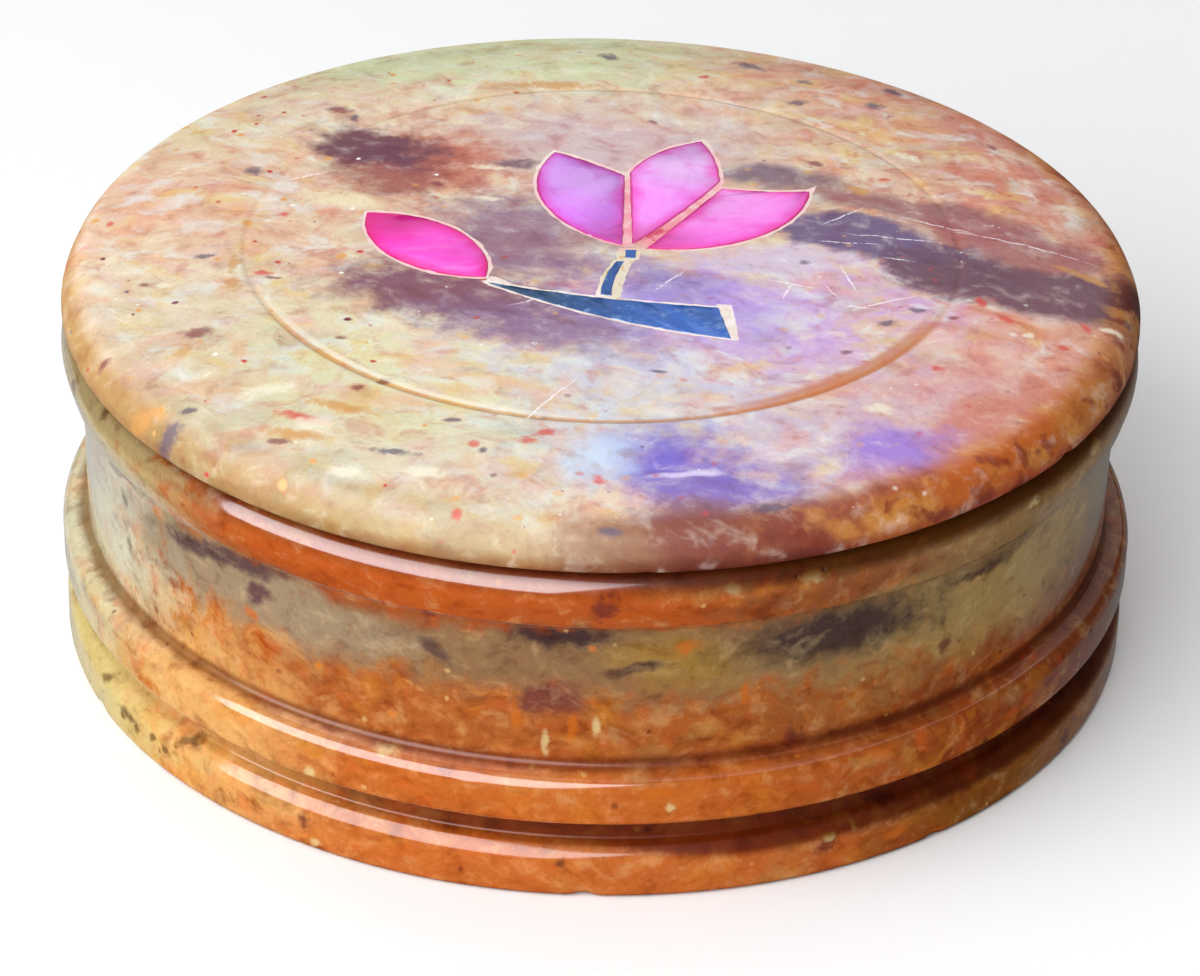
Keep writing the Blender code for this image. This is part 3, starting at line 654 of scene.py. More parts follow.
def lid_stone():
    """The lid's mottled stone, from its ground to the scratches and pits."""
    lid = Finish("soapstone_lid")
    x, y, z = lid.split(lid.place)
    radius = lid.math("SQRT", x * x + y * y)
    fray = (lid.clouds(lid.place, 2.6, 4.0, 0.65) - 0.5) * 1.7
    grain = lid.clouds(lid.place, 0.42, 2.0, 0.6)
    crumbs = (lid.clouds(lid.place, 0.8, 2.0, 0.6) - 0.5) * 2.4
    close = lid.moved(lid.place, 1.6, 0.3)
    bent = lid.moved(lid.moved(lid.place, 13.0, 3.0), 3.2, 1.0)
    along, across, _ = lid.split(lid.leaned(bent, -17))
    flow = lid.join(along * 0.82, across, z)
    mottle = lid.clouds(flow, 2.4, 4.0, 0.62)

    # The ground under its veils, the red ones only at the right and the left; then the accents.
    stone = lid.blend(srgb(222, 184, 158), srgb(230, 214, 182), lid.between(mottle, 0.38, 0.62))
    stone = laid(lid, stone, bent, LID_GROUND, fray)
    calm = lid.patch(bent, -17, 42, 34, 15, -5, 0.5) * 0.5
    stone = lid.blend(lid.veils(stone, flow, LID_VEILS), stone, calm)
    warm_right = lid.patch(bent, 38, 12, 17, 38, 25, 0.35)
    warm_left = lid.patch(bent, -36, 8, 14, 14, 0, 0.5) * 0.4
    warm = lid.math("MAXIMUM", warm_right, warm_left)
    reddened = lid.veils(stone, flow, LID_WARM_VEILS)
    stone = lid.blend(stone, reddened, warm + 0.12)
    stone = laid(lid, stone, bent, LID_ACCENTS, fray)
    stone = laid(lid, stone, bent, LID_VEIN, fray * 0.4)
    stone = laid(lid, stone, bent, LID_EDGE, fray, lid.between(radius + fray * 1.1, 45.8, 48.8))
    rim = lid.between(radius, 45.5, 48.4)
    streaked = lid.veils(stone, flow, LID_EDGE_VEILS)
    stone = lid.blend(stone, streaked, rim * lid.between(x - y * 0.3, 24.0, 36.0))
    # Painted shade: the lid is tinted darker towards the window, at the front left.
    window_side_shade = lid.between(x * -0.6 - y * 0.8, 26.0, 46.0)
    stone = lid.tint(stone, srgb(232, 230, 230), window_side_shade * 0.8)
    # Painted shade on the front left of the rim, the part that faces the window.
    front_rim_shade = rim * lid.between(x - y * 0.6, 34.0, 2.0) * lid.between(y, -18.0, -36.0)
    stone = lid.tint(stone, srgb(224, 216, 202), front_rim_shade)
    stone = lid.tint(stone, srgb(224, 196, 172), rim * lid.between(x - y * 0.3, 6.0, 24.0))
    rim_left = lid.between(radius, 48.2, 49.6) * lid.between(x - y * 0.6, 34.0, 2.0)
    stone = lid.tint(stone, srgb(230, 208, 158), rim_left)
    # Painted shade along the lid's lower edge, with some dirt, more of it towards the right.
    lower_edge_shade_and_dirt = lid.between(z + fray * 0.3, 34.8, 33.2) * (lid.between(x - y * 0.3, -24.0, 24.0) * 0.6 + 0.3)
    stone = lid.tint(stone, srgb(206, 140, 40), lower_edge_shade_and_dirt)

    # Mottling, grain, specks and marks over all of it, the specks most of all at the left.
    stone = lid.tint(stone, srgb(255, 240, 224), lid.between(mottle, 0.5, 0.72) * 0.22, "SCREEN")
    stone = lid.tint(stone, srgb(206, 160, 148), lid.between(mottle, 0.48, 0.28) * 0.45)
    stone = lid.tint(stone, srgb(196, 184, 180), lid.between(grain, 0.52, 0.3) * 0.16)
    left = lid.between(x + fray * 6, 4.0, -22.0) * 0.6 + 0.4
    for colour, pitch, size, share, seed in LID_SPECKS:
        stone = lid.blend(stone, srgb(*colour), lid.specks(close, pitch, size, share, seed) * left)
    for colour, spots in LID_MARKS.values():
        stone = lid.blend(stone, srgb(*colour), lid.marks(close, spots, 0.6, crumbs * 0.9) * 0.75)
    stone = lid.blend(stone, srgb(255, 252, 244), lid.specks(close, 1.9, 0.13, 0.14, 41.0) * 0.8)

    # The turned ring line is tinted a darker ochre, most of it at the front right, and a painted
    # highlight runs along its inner side at the front left.
    broad_band = lid.patch(bent, 23, -24, 15, 6, 42, 0.6)
    front = lid.between(y + fray * 8, -8.0, -24.0)
    line = lid.between(abs(radius - RING_LINE + fray * 0.08), 0.5, 0.12)
    # The pale line is a painted highlight along the inner side of the ring line, at the front left.
    pale = lid.between(abs(radius - (RING_LINE - 0.7) + fray * 0.1), 0.5, 0.15)
    pale = pale * lid.between(x, 2.0, -10.0) * front
    wide = lid.between(abs(radius - (RING_LINE - 0.5) + fray * 0.2), 1.3, 0.4) * broad_band
    stone = lid.blend(stone, srgb(250, 242, 222), pale * 0.6)
    stone = lid.tint(stone, srgb(224, 168, 100), line * (front * 0.65 + 0.14))
    stone = lid.blend(stone, srgb(196, 114, 56), wide * 0.75)

    worn = lid.marks(close, strokes(LID_SCRATCHES, SCRATCH_WIDTH), 0.5)
    stone = lid.blend(stone, srgb(250, 242, 248), worn * lid.between(grain, 0.36, 0.52) * 0.85)

    pits = lid.specks(close, 2.3, 0.22, 0.16, 31.0)
    under = lid.between(z, LID_SEAT + 0.4, LID_SEAT + 0.1) * lid.between(radius, 49.4, 48.8)
    stone = lid.tint(stone, srgb(150, 112, 84), pits * 0.7)
    stone = lid.blend(stone, srgb(196, 178, 150), under * 0.45)
    cuts = lid.math("SINE", radius * 14.0 + mottle * 8.0)
    rough = 0.24 + (mottle - 0.5) * 0.2 + worn * 0.3 + under * 0.26 + rim * 0.3
    lid.set(Base_Color=stone, Roughness=rough, IOR=1.5)
    lid.set(Coat_Weight=0.22 - rim * 0.22, Coat_Roughness=0.1, Specular_IOR_Level=0.4)
    lid.bump(mottle * 0.02 + grain * 0.0022 - pits * 0.05 + cuts * under * 0.024)
    return lid.material


lid_finish = lid_stone()
print("the lid's stone:", len(lid_finish.node_tree.nodes), "nodes")

# %% [markdown]
# ## The cup's stone
#
# The cup is the redder of the two stones. Its patches wrap round it, so they are placed by an angle, from
# the front towards the right, and a height. The noise that bends and frays them is still read in space, so
# no seam shows at the back. Behind the sides that the picture shows, the stone goes on in the same tones.
# Inside and underneath the turner left it unpolished, with fine rings from the tool.

# %% Patches on the cup
CUP_GROUND = [
    ("olive left", (212, 206, 172), (-84, 18), (33, 30), 0, 0.35, 0.96),
    ("yellow green left", (208, 186, 116), (-62, 5), (16, 7), 0, 0.5, 0.85),
    ("gold left", (222, 166, 98), (-44, 8), (15, 9), 0, 0.5, 0.85),
    ("brown right", (124, 72, 38), (66, 12), (38, 22), 0, 0.5, 0.85),
    ("rust right", (146, 64, 20), (42, 9), (24, 10), 0, 0.6, 0.8),
    ("olive back", (150, 130, 88), (-150, 22), (32, 14), 10, 0.5, 0.8),
    ("cream back", (190, 170, 126), (-128, 8), (20, 8), 0, 0.6, 0.7),
    ("salmon back", (166, 96, 56), (165, 10), (30, 12), -8, 0.5, 0.8),
    ("plum back", (100, 56, 52), (128, 24), (18, 6), -14, 0.4, 0.8),
]
CUP_ACCENTS = [
    # the collar under the top bead, and the dark blots in it
    ("khaki collar", (128, 104, 74), (0, 23.6), (60, 4.6), 0, 0.4, 0.85),
    ("khaki collar right", (166, 138, 84), (56, 22.5), (34, 6), 0, 0.5, 0.85),
    ("grey collar left", (154, 134, 108), (-40, 23), (20, 3.8), 0, 0.5, 0.8),
    ("pale green left", (192, 186, 160), (-72, 19), (16, 8), 0, 0.6, 0.55),
    ("plum smoke right", (112, 70, 60), (70, 16.5), (12, 4), 0, 0.7, 0.5),
    ("rust tongue", (150, 72, 30), (-22, 27), (16, 1.5), 0, 0.5, 0.7),
    ("gold in the collar", (160, 120, 46), (9, 23.4), (7, 2.6), 0, 0.6, 0.7),
    ("blot left", (84, 60, 62), (-42, 25.2), (10, 1.2), 6, 0.5, 0.9),
    ("blot far left", (100, 74, 78), (-58, 27.0), (8, 0.7), 8, 0.5, 0.8),
    ("blot front", (60, 40, 44), (-3, 25.6), (5.5, 1.4), 0, 0.45, 0.92),
    ("blot right", (58, 42, 46), (26, 24.0), (11, 2.7), -4, 0.6, 0.92),
    ("blot far right", (66, 46, 46), (46, 26.6), (8, 1.3), 4, 0.5, 0.9),
    ("plum spot", (92, 40, 52), (-4.6, 18.6), (3.2, 1.5), 10, 0.5, 0.9),
    ("small plum spot", (92, 58, 62), (-36.5, 23), (1.6, 1.1), 40, 0.5, 0.9),
    ("small dark spot", (76, 50, 44), (4.6, 22.2), (2.6, 0.5), 12, 0.5, 0.9),
    ("small dark spot left", (86, 60, 56), (-15.8, 23), (1.8, 1.0), -40, 0.5, 0.85),
    ("rust waist", (150, 84, 40), (2, 16.0), (42, 4.2), 0, 0.6, 0.35),
    # the top bead
    ("bead khaki left", (178, 158, 108), (-72, 30), (30, 3.4), 0, 0.25, 0.95),
    ("bead red", (176, 78, 24), (-14, 29.6), (34, 3.0), 0, 0.35, 0.85),
    ("bead olive right", (146, 116, 76), (54, 29.6), (34, 3.2), 0, 0.45, 0.85),
    ("bead rust right", (132, 62, 28), (24, 29.2), (12, 1.6), 0, 0.5, 0.7),
    ("bead gold", (160, 126, 30), (36, 32), (16, 0.8), 0, 0.5, 0.7),
    # the middle band and the foot
    ("band orange", (198, 100, 36), (0, 10), (30, 3.0), 0, 0.5, 0.6),
    ("band plum right", (112, 54, 30), (68, 10.4), (16, 3.2), 0, 0.5, 0.8),
    ("foot orange", (200, 104, 44), (0, 2.6), (30, 3.4), 0, 0.5, 0.6),
    ("foot ochre right", (128, 78, 24), (54, 3.0), (20, 2.6), 0, 0.5, 0.75),
    ("foot pale left", (206, 186, 120), (-74, 3), (22, 3.6), 0, 0.4, 0.8),
]
CUP_VEILS = [
    ((214, 142, 40), 4.6, 0.50, 0.70, 0.45, 3.0), ((126, 44, 8), 3.4, 0.50, 0.70, 0.50, 11.0),
    ((176, 148, 88), 6.0, 0.54, 0.70, 0.35, 23.0), ((226, 170, 96), 1.8, 0.60, 0.74, 0.22, 37.0),
    ((218, 88, 30), 3.6, 0.52, 0.70, 0.35, 51.0), ((232, 160, 88), 2.2, 0.57, 0.73, 0.30, 61.0),
]
CUP_MARKS = {
    "brown": ((86, 44, 20), [
        (-57, 2.9, 1.6, 0.45, 0), (-55, 2.3, 0.7, 0.4, 0), (-52, 2.8, 0.7, 0.35, 30),
        (-49.6, 2.6, 0.5, 0.4, 0), (-58.2, 2.2, 0.6, 0.35, 0), (-62.6, 4.1, 1.0, 0.3, 20),
        (-46.6, 4.6, 1.5, 0.45, 20), (-61.2, 23.5, 0.8, 0.7, 0), (-60.8, 18.8, 0.6, 0.8, 0),
        (-72, 30.3, 0.9, 0.8, 0), (-63, 31.6, 0.7, 0.5, 0), (44, 8, 0.5, 0.6, 0)]),
    "plum": ((92, 34, 36), [
        (24.6, 3.0, 1.0, 0.7, 20), (32, 5.2, 1.8, 0.35, -8), (21.6, 13.8, 0.9, 0.9, 0),
        (60, 1.6, 1.0, 0.6, 0), (-30, 2.8, 0.6, 0.7, 0), (1, 29.6, 1.3, 1.1, 30),
        (-16.6, 26.8, 0.7, 0.6, 0), (40, 18.6, 0.7, 0.9, 0)]),
    "cream": ((214, 190, 132), [
        (-29, 8.2, 0.6, 0.7, -20), (-4.6, 14.6, 0.35, 1.2, 0), (0.6, 16.6, 0.4, 0.8, 0),
        (13.6, 31.0, 0.7, 0.4, 0), (25, 3.8, 0.5, 0.4, 0), (28, 4.2, 0.35, 0.4, 0),
        (-28.6, 0.9, 0.5, 0.4, 0), (50, 30.6, 0.9, 0.35, 0), (22, 31.0, 1.2, 0.5, 0), (8, 9.6, 0.4, 0.4, 0),
        (-21, 12.2, 1.2, 0.3, 0), (63, 31.0, 1.2, 0.4, 0)]),
    "orange": ((196, 100, 24), [
        (-7.6, 17.0, 0.5, 1.6, 4), (-1.8, 16.4, 0.5, 1.3, -6), (9.6, 24.6, 1.1, 0.7, 0),
        (16, 19.2, 0.5, 1.1, 0), (-38.5, 20.6, 0.9, 0.6, 0), (-52, 8.6, 1.6, 0.6, 0),
        (6.6, 11.0, 1.6, 0.5, 0), (33, 2.2, 1.2, 0.5, 0)]),
}
CUP_SPECKS = [
    ((214, 170, 108), 2.4, 0.36, 0.3, 3.0), ((104, 36, 22), 2.7, 0.4, 0.28, 9.0),
    ((66, 42, 38), 4.0, 0.46, 0.2, 15.0), ((214, 120, 40), 3.0, 0.46, 0.3, 21.0),
]
print(len(CUP_GROUND) + len(CUP_ACCENTS), "patches on the cup")


# %% The cup's finish
def both_ways(patches):
    """All patches, and those that cross the back, where the angle jumps, once more from the other side."""
    again = []
    for name, colour, (angle, height), size, *rest in patches:
        again.append((name, colour, (angle, height), size, *rest))
        if abs(angle) + 1.6 * size[0] > 180:
            again.append((name, colour, (angle - math.copysign(360, angle), height), size, *rest))
    return again


def cup_stone():
    """The cup's mottled stone, with painted shade and dirt in its outer grooves, and unpolished inside and
    underneath.
    """
    cup = Finish("soapstone_cup")
    x, y, z = cup.split(cup.place)
    radius = cup.math("SQRT", x * x + y * y)
    fray = (cup.clouds(cup.place, 2.0, 4.0, 0.65) - 0.5) * 1.8
    grain = cup.clouds(cup.place, 0.4, 2.0, 0.6)
    crumbs = (cup.clouds(cup.place, 0.8, 2.0, 0.6) - 0.5) * 2.4
    slow = cup.moved(cup.place, 11.0, 2.2)
    bent = cup.moved(slow, 2.8, 0.9)
    close = cup.moved(cup.place, 1.6, 0.3)
    flow = cup.vector("MULTIPLY", bent, (1.0, 1.0, 1.5))
    mottle = cup.clouds(flow, 2.6, 4.0, 0.62)
    broad = cup.clouds(slow, 17.0, 2.0, 0.5)

    bx, by, bz = cup.split(bent)
    round_place = cup.join(cup.math("ARCTAN2", bx, by * -1.0) * math.degrees(1.0), bz, 0.0)
    cx, cy, cz = cup.split(close)
    close_place = cup.join(cup.math("ARCTAN2", cx, cy * -1.0) * math.degrees(1.0), cz, 0.0)
    inside = cup.between(radius, 42.7, 42.3) * cup.between(z, 5.4, 6.0)
    under = cup.between(z, 0.95, 0.7) * cup.between(radius, 49.4, 49.0)
    dull = cup.math("MAXIMUM", inside, under)
    polished = 1 - dull

    stone = cup.blend(srgb(162, 82, 28), srgb(184, 104, 44), cup.between(mottle, 0.36, 0.64))
    deep = cup.blend(stone, srgb(176, 156, 112), cup.between(broad, 0.46, 0.6))
    stone = laid(cup, stone, round_place, both_ways(CUP_GROUND), fray)
    stone = cup.veils(stone, flow, CUP_VEILS)
    stone = laid(cup, stone, round_place, CUP_ACCENTS, fray)
    stone = cup.blend(stone, deep, cup.between(radius, 41.0, 36.0))

    stone = cup.tint(stone, srgb(255, 216, 150), cup.between(mottle, 0.52, 0.72) * 0.14, "SCREEN")
    stone = cup.tint(stone, srgb(160, 96, 50), cup.between(mottle, 0.48, 0.26) * 0.45)
    stone = cup.tint(stone, srgb(190, 170, 160), cup.between(grain, 0.52, 0.3) * 0.2)
    for colour, pitch, size, share, seed in CUP_SPECKS:
        stone = cup.blend(stone, srgb(*colour), cup.specks(close, pitch, size, share, seed) * 0.6)
    for colour, spots in CUP_MARKS.values():
        spotted = cup.marks(close_place, spots, 0.6, crumbs * 0.9)
        stone = cup.blend(stone, srgb(*colour), spotted * polished * 0.7)

    # Painted shade, with some dirt and old wax where a cloth doesn't reach, darkens the grooves, the
    # crease above the middle band and the seam under the lid, most of all towards the right, where the shade
    # falls.
    edge_noise = (mottle - 0.5) * 1.5
    right = cup.between(x, -5.0, 15.5)
    groove = cup.between(radius + edge_noise - right * 1.4, 50.2, 48.9)
    groove = groove * cup.between(abs(z - 6.5 + right * 1.3), 2.0, 1.0)
    groove = groove * (cup.between(x, -44.0, 0.0) * 0.85 + 0.15)
    crease = cup.between(abs(z - 12.6 - right * 0.4), 1.0, 0.15) * cup.between(radius + edge_noise, 49.6, 48.6)
    seam = cup.between(z + edge_noise * 0.3 + right * 0.9, 31.2, 32.4) * cup.between(radius, 46.2, 47.6)
    seam = seam * (cup.between(x, -49.0, 5.0) * 0.65 + 0.35)
    # A faint painted shadow under the top bead.
    tuck = cup.between(abs(z - 27.0), 0.6, 0.1)
    low_shade_and_grime = cup.math("MAXIMUM", groove, crease * 0.8)
    high_shade_and_grime = cup.math("MAXIMUM", seam, tuck * 0.2)
    shade_and_grime = cup.math("MAXIMUM", low_shade_and_grime, high_shade_and_grime)
    stone = cup.tint(stone, srgb(150, 108, 12), shade_and_grime * polished * 0.97)

    # Painted shade from the lid's overhang darkens the top of the upper bead.
    bead_top_shade = cup.between(z + edge_noise * 0.2, 30.0, 31.0) * cup.between(radius, 46.2, 47.6)
    stone = cup.tint(stone, srgb(196, 190, 192), bead_top_shade * polished * 0.6)

    pits = cup.specks(close, 2.4, 0.24, 0.16, 31.0)
    stone = cup.tint(stone, srgb(150, 100, 70), pits * 0.7)
    stone = cup.blend(stone, srgb(204, 178, 146), dull * 0.42)
    cuts = cup.math("SINE", (radius + z) * 13.0 + mottle * 6.0)
    rough = 0.2 + (mottle - 0.5) * 0.2 + dull * 0.34 + shade_and_grime * 0.2
    cup.set(Base_Color=stone, Roughness=rough, IOR=1.45, Specular_IOR_Level=0.2)
    coat = cup.between(z, 5.0, 8.0) * 0.35 + bead_top_shade * 0.15 + 0.5
    cup.set(Coat_Weight=polished * (1 - shade_and_grime) * coat, Coat_Roughness=0.08)
    cup.bump(mottle * 0.016 + grain * 0.002 - pits * 0.06 + cuts * dull * 0.03)
    return cup.material


cup_finish = cup_stone()
print("the cup's stone:", len(cup_finish.node_tree.nodes), "nodes")

# %% [markdown]
# ## Turning the cup
#
# The cup can be turned now: the outline goes through the lathe, the nicks are pushed in, and the finish is
# put on. It rides on the cup's body and takes the place of its plain solid. The lid has to wait for its
# pocket.

# %% The cup
cup = turned("cup", cup_outline, 2.0, cup_finish)
nick(cup, CUP_NICKS)
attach(cup, "base")
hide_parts("base")
print("cup:", len(cup.data.polygons), "faces")

# %% [markdown]
# ## The flower
#
# Seven thin chips were sawn to shape, laid in a carved pocket and cemented. Each outline is a few corners,
# and each side between two of them is an arc, so a corner also says how far the side that follows it
# swells. A saw held in the hand never follows such an arc exactly, so the points along it are moved by a
# small noise.

# %% Outlines of the chips
from mathutils import noise

CHIPS = {
    "petal_left": [(-4.8, 19.0, 4.4), (1.85, 0.0, 0.0), (1.95, 14.3, 0.25)],
    "petal_middle": [(2.75, 0.3, 0.4), (11.0, 13.6, 0.45), (9.3, 22.1, 1.1), (2.4, 15.0, 0.0)],
    "petal_right": [(4.1, -0.5, 4.3), (19.5, 12.0, -0.35), (11.2, 12.15, 0.0)],
    "bud": [(-22.1, 5.3, 4.0), (-10.6, -7.0, 4.1)],
    "stem": [(-10.4, -8.0, 1.3), (11.7, -17.5, 0.0), (10.6, -11.7, -0.6)],
    "stalk_lower": [(-0.1, -9.8, 0.0), (0.9, -9.95, -0.25), (2.0, -3.2, 0.0), (1.3, -3.2, 0.3)],
    "stalk_upper": [(2.1, -2.4, 0.0), (3.05, -2.5, 0.0), (3.1, -0.9, 0.0), (2.1, -0.9, 0.0)],
}
CEMENT_FILLS = [
    [(0.5, -10.6, 0.0), (1.7, -10.6, -0.35), (3.7, -0.5, 0.0), (1.4, -0.5, 0.0)],
    [(10.4, -17.6, 0.0), (12.4, -18.0, 0.0), (11.9, -11.1, 0.0), (10.4, -11.1, 0.0)],
    [(-10.9, -8.3, 0.0), (-7.0, -8.9, 0.0), (-10.2, -6.6, 0.0)],
    [(18.6, 12.0, 0.0), (19.9, 12.0, 0.0), (20.2, 13.2, 0.0), (19.4, 12.6, 0.0)],
    [(1.7, -0.3, 0.0), (3.0, -0.3, 0.0), (2.3, 15.0, 0.0), (1.9, 14.6, 0.0)],
    [(2.9, -0.3, 0.0), (4.2, -0.6, 0.0), (11.3, 12.2, 0.0), (10.9, 13.5, 0.0)],
]
SAW_STEP, SAW_TREMBLE = 0.55, 0.09


def sides(corners):
    """Each side as its two ends, and the centre and radius of its arc, or None for a straight one."""
    found = []
    for (ax, ay, bow), (bx, by, _) in zip(corners, corners[1:] + corners[:1]):
        a, b = Vector((ax, ay)), Vector((bx, by))
        arc = None
        if bow:
            chord = (b - a).length
            radius = (chord * chord / 4 + bow * bow) / (2 * abs(bow))
            out = Vector((by - ay, ax - bx)) / chord
            arc = (a + b) / 2 - out * math.copysign(radius - abs(bow), bow), radius
        found.append((a, b, arc))
    return found


def sawn(corners, grow, tremble, seed=0.0):
    """Points round an outline, in millimetres, moved outwards by grow and by a noise of the given size."""
    points = []
    for a, b, arc in sides(corners):
        steps = max(1, round((b - a).length / SAW_STEP))
        for i in range(steps):
            share = i / steps
            if arc:
                centre, radius = arc
                start, end = a - centre, b - centre
                bend = start.angle_signed(end)
                spoke = start.copy()
                spoke.rotate(Matrix.Rotation(-bend * share, 2))
                points.append(centre + spoke)
            else:
                points.append(a.lerp(b, share))
    moved = []
    for i, here in enumerate(points):
        before = (here - points[i - 1]).normalized()
        after = (points[(i + 1) % len(points)] - here).normalized()
        out_before, out_after = Vector((before.y, -before.x)), Vector((after.y, -after.x))
        mitre = (out_before + out_after).normalized()
        reach = grow + tremble * noise.noise(Vector((here.x * 0.9, here.y * 0.9, seed)))
        moved.append(here + mitre * (reach / max(0.5, mitre.dot(out_before))))
    return moved


print({name: len(sawn(corners, 0, 0)) for name, corners in CHIPS.items()})

# %% [markdown]
# A flat outline becomes a slab: one face, drawn out downwards. The pocket in the lid and the cement in it
# are both made of such slabs. All chips, grown by the width of the cement line, are joined into one field.
# Booleans are slow and exact, so they work on scratch objects that are thrown away afterwards.

# %% Slabs and Booleans
import bmesh


def slab(name, outline, low, high, edge=0.0):
    """A flat solid between two heights, its upper edge broken by edge."""
    mesh, work = bpy.data.meshes.new(name), bmesh.new()
    top = work.faces.new([work.verts.new((p.x * MM, p.y * MM, high * MM)) for p in outline])
    top.normal_update()
    if top.normal.z < 0:
        top.normal_flip()
    rim = list(top.edges)
    drawn = bmesh.ops.extrude_face_region(work, geom=[top])
    for part in drawn["geom"]:
        if isinstance(part, bmesh.types.BMVert):
            part.co.z = low * MM
    if edge:
        bmesh.ops.bevel(work, geom=rim, offset=edge * MM, segments=1, affect="EDGES")
    bmesh.ops.recalc_face_normals(work, faces=work.faces)
    work.to_mesh(mesh)
    work.free()
    return mesh


def scratch(name, mesh):
    """A helper object that is thrown away after the Boolean."""
    obj = bpy.data.objects.new(name, mesh)
    bpy.context.scene.collection.objects.link(obj)
    return obj


def carved(name, start, tools):
    """The start mesh after each (operation, mesh) of the list, as a plain mesh."""
    work = scratch(name, start)
    helpers = []
    for i, (operation, mesh) in enumerate(tools):
        helpers.append(scratch(f"{name}_tool_{i}", mesh))
        modifier = work.modifiers.new(f"{i}", "BOOLEAN")
        modifier.operation, modifier.solver, modifier.object = operation, "EXACT", helpers[-1]
    mesh = plain_mesh(work, name)
    for obj in [work] + helpers:
        bpy.data.objects.remove(obj)
    return mesh


# %% [markdown]
# The pocket is cut into the lid first. The cement fills it, a hair lower than the stone, because it shrinks
# and is softer to polish. It reaches a little way into the stone all round, so that no crack shows, and has
# a recess for each chip.

# %% The lid with its pocket, and the cement
LID_TOP = LID_SEAT + LID_THICKNESS
CLEAR_OF_LID = LID_TOP + 1.0
CEMENT_LINE, CEMENT_TREMBLE = 0.36, 0.24
CEMENT_BITE, CEMENT_BED, CEMENT_SINK = 0.02, 0.05, 0.03
POCKET_DEPTH, RECESS_DEPTH, RECESS_GAP = 1.5, 1.1, 0.01


def cement_field(name, extra, low, high):
    """The chips grown by the cement line, and the fills, all grown by extra and joined into one solid."""
    outlines = [sawn(c, CEMENT_LINE + extra, CEMENT_TREMBLE, 3.0) for c in CHIPS.values()]
    outlines += [sawn(c, extra, CEMENT_TREMBLE, 3.0) for c in CEMENT_FILLS]
    slabs = [slab(f"{name}_{i}", outline, low, high) for i, outline in enumerate(outlines)]
    return carved(name, slabs[0], [("UNION", s) for s in slabs[1:]])


blank = turned("lid_blank", lid_outline, 5.0, lid_finish)
nick(blank, LID_NICKS)
pocket = cement_field("pocket", 0.0, LID_TOP - POCKET_DEPTH, CLEAR_OF_LID)
lid = add_piece("lid_stone", carved("lid_stone", blank.data, [("DIFFERENCE", pocket)]), lid_finish)
bpy.data.objects.remove(blank)
print("lid:", len(lid.data.polygons), "faces")

recesses = []
for name, corners in CHIPS.items():
    outline = sawn(corners, RECESS_GAP, SAW_TREMBLE)
    recesses.append(slab(name + "_recess", outline, LID_TOP - RECESS_DEPTH, CLEAR_OF_LID))
cement_floor = LID_TOP - POCKET_DEPTH + CEMENT_BED
field = cement_field("cement_field", CEMENT_BITE, cement_floor, LID_TOP - CEMENT_SINK)
cement_mesh = carved("cement", field, [("DIFFERENCE", mesh) for mesh in recesses])
print("cement:", len(cement_mesh.polygons), "faces")

# %% [markdown]
# ## Finishes of the inlay
#
# The chips are pale stone steeped in dye. It soaks in from the sawn edge, so a chip is deepest in colour
# along its outline. The distance to the outline is worked out in the shader, from the same arcs that the
# outline was drawn with. The petals also have faint fibres that fan out from the flower's foot. Each chip
# has the colours of its heart and its rim, then a lighter cloud and where it lies, then a darker one.

# %% Dyed stone
FLOWER_FOOT = (2.6, -1.0)
POLISHED_CHIP = {"IOR": 1.55, "Coat_Weight": 0.4, "Coat_Roughness": 0.06}
DYES = {
    "petal_left": (
        (218, 122, 244), (226, 46, 190), (230, 178, 255), (-1.0, 13.4), (190, 16, 110), (2.0, 1.6)),
    "petal_middle": (
        (250, 150, 252), (246, 76, 200), (242, 206, 255), (9.4, 17.6), (198, 18, 104), (3.2, 0.8)),
    "petal_right": (
        (254, 108, 230), (248, 52, 176), (255, 176, 252), (11.0, 9.0), (196, 18, 96), (4.4, 0.2)),
    "bud": (
        (252, 42, 190), (236, 16, 138), (254, 96, 222), (-12.6, -0.6), (206, 6, 104), (-20.6, 3.4)),
}


def to_edge(finish, corners):
    """The distance in millimetres to the nearest side of an outline, roughly so past the ends of a side."""
    x, y, _ = finish.split(finish.place)
    flat = finish.join(x, y, 0.0)
    nearest = None
    for a, b, arc in sides(corners):
        along, half = (b - a).normalized(), (b - a).length / 2
        beyond = finish.math("MAXIMUM", abs(x * along.x + y * along.y - along.dot(a + b) / 2) - half, 0.0)
        if arc:
            centre, radius = arc
            away = abs(finish.vector("DISTANCE", flat, (centre.x, centre.y, 0.0), out="Value") - radius)
        else:
            out = Vector((b.y - a.y, a.x - b.x)).normalized()
            away = abs(x * out.x + y * out.y - a.dot(out))
        nearest = away + beyond if nearest is None else finish.math("MINIMUM", nearest, away + beyond)
    return nearest


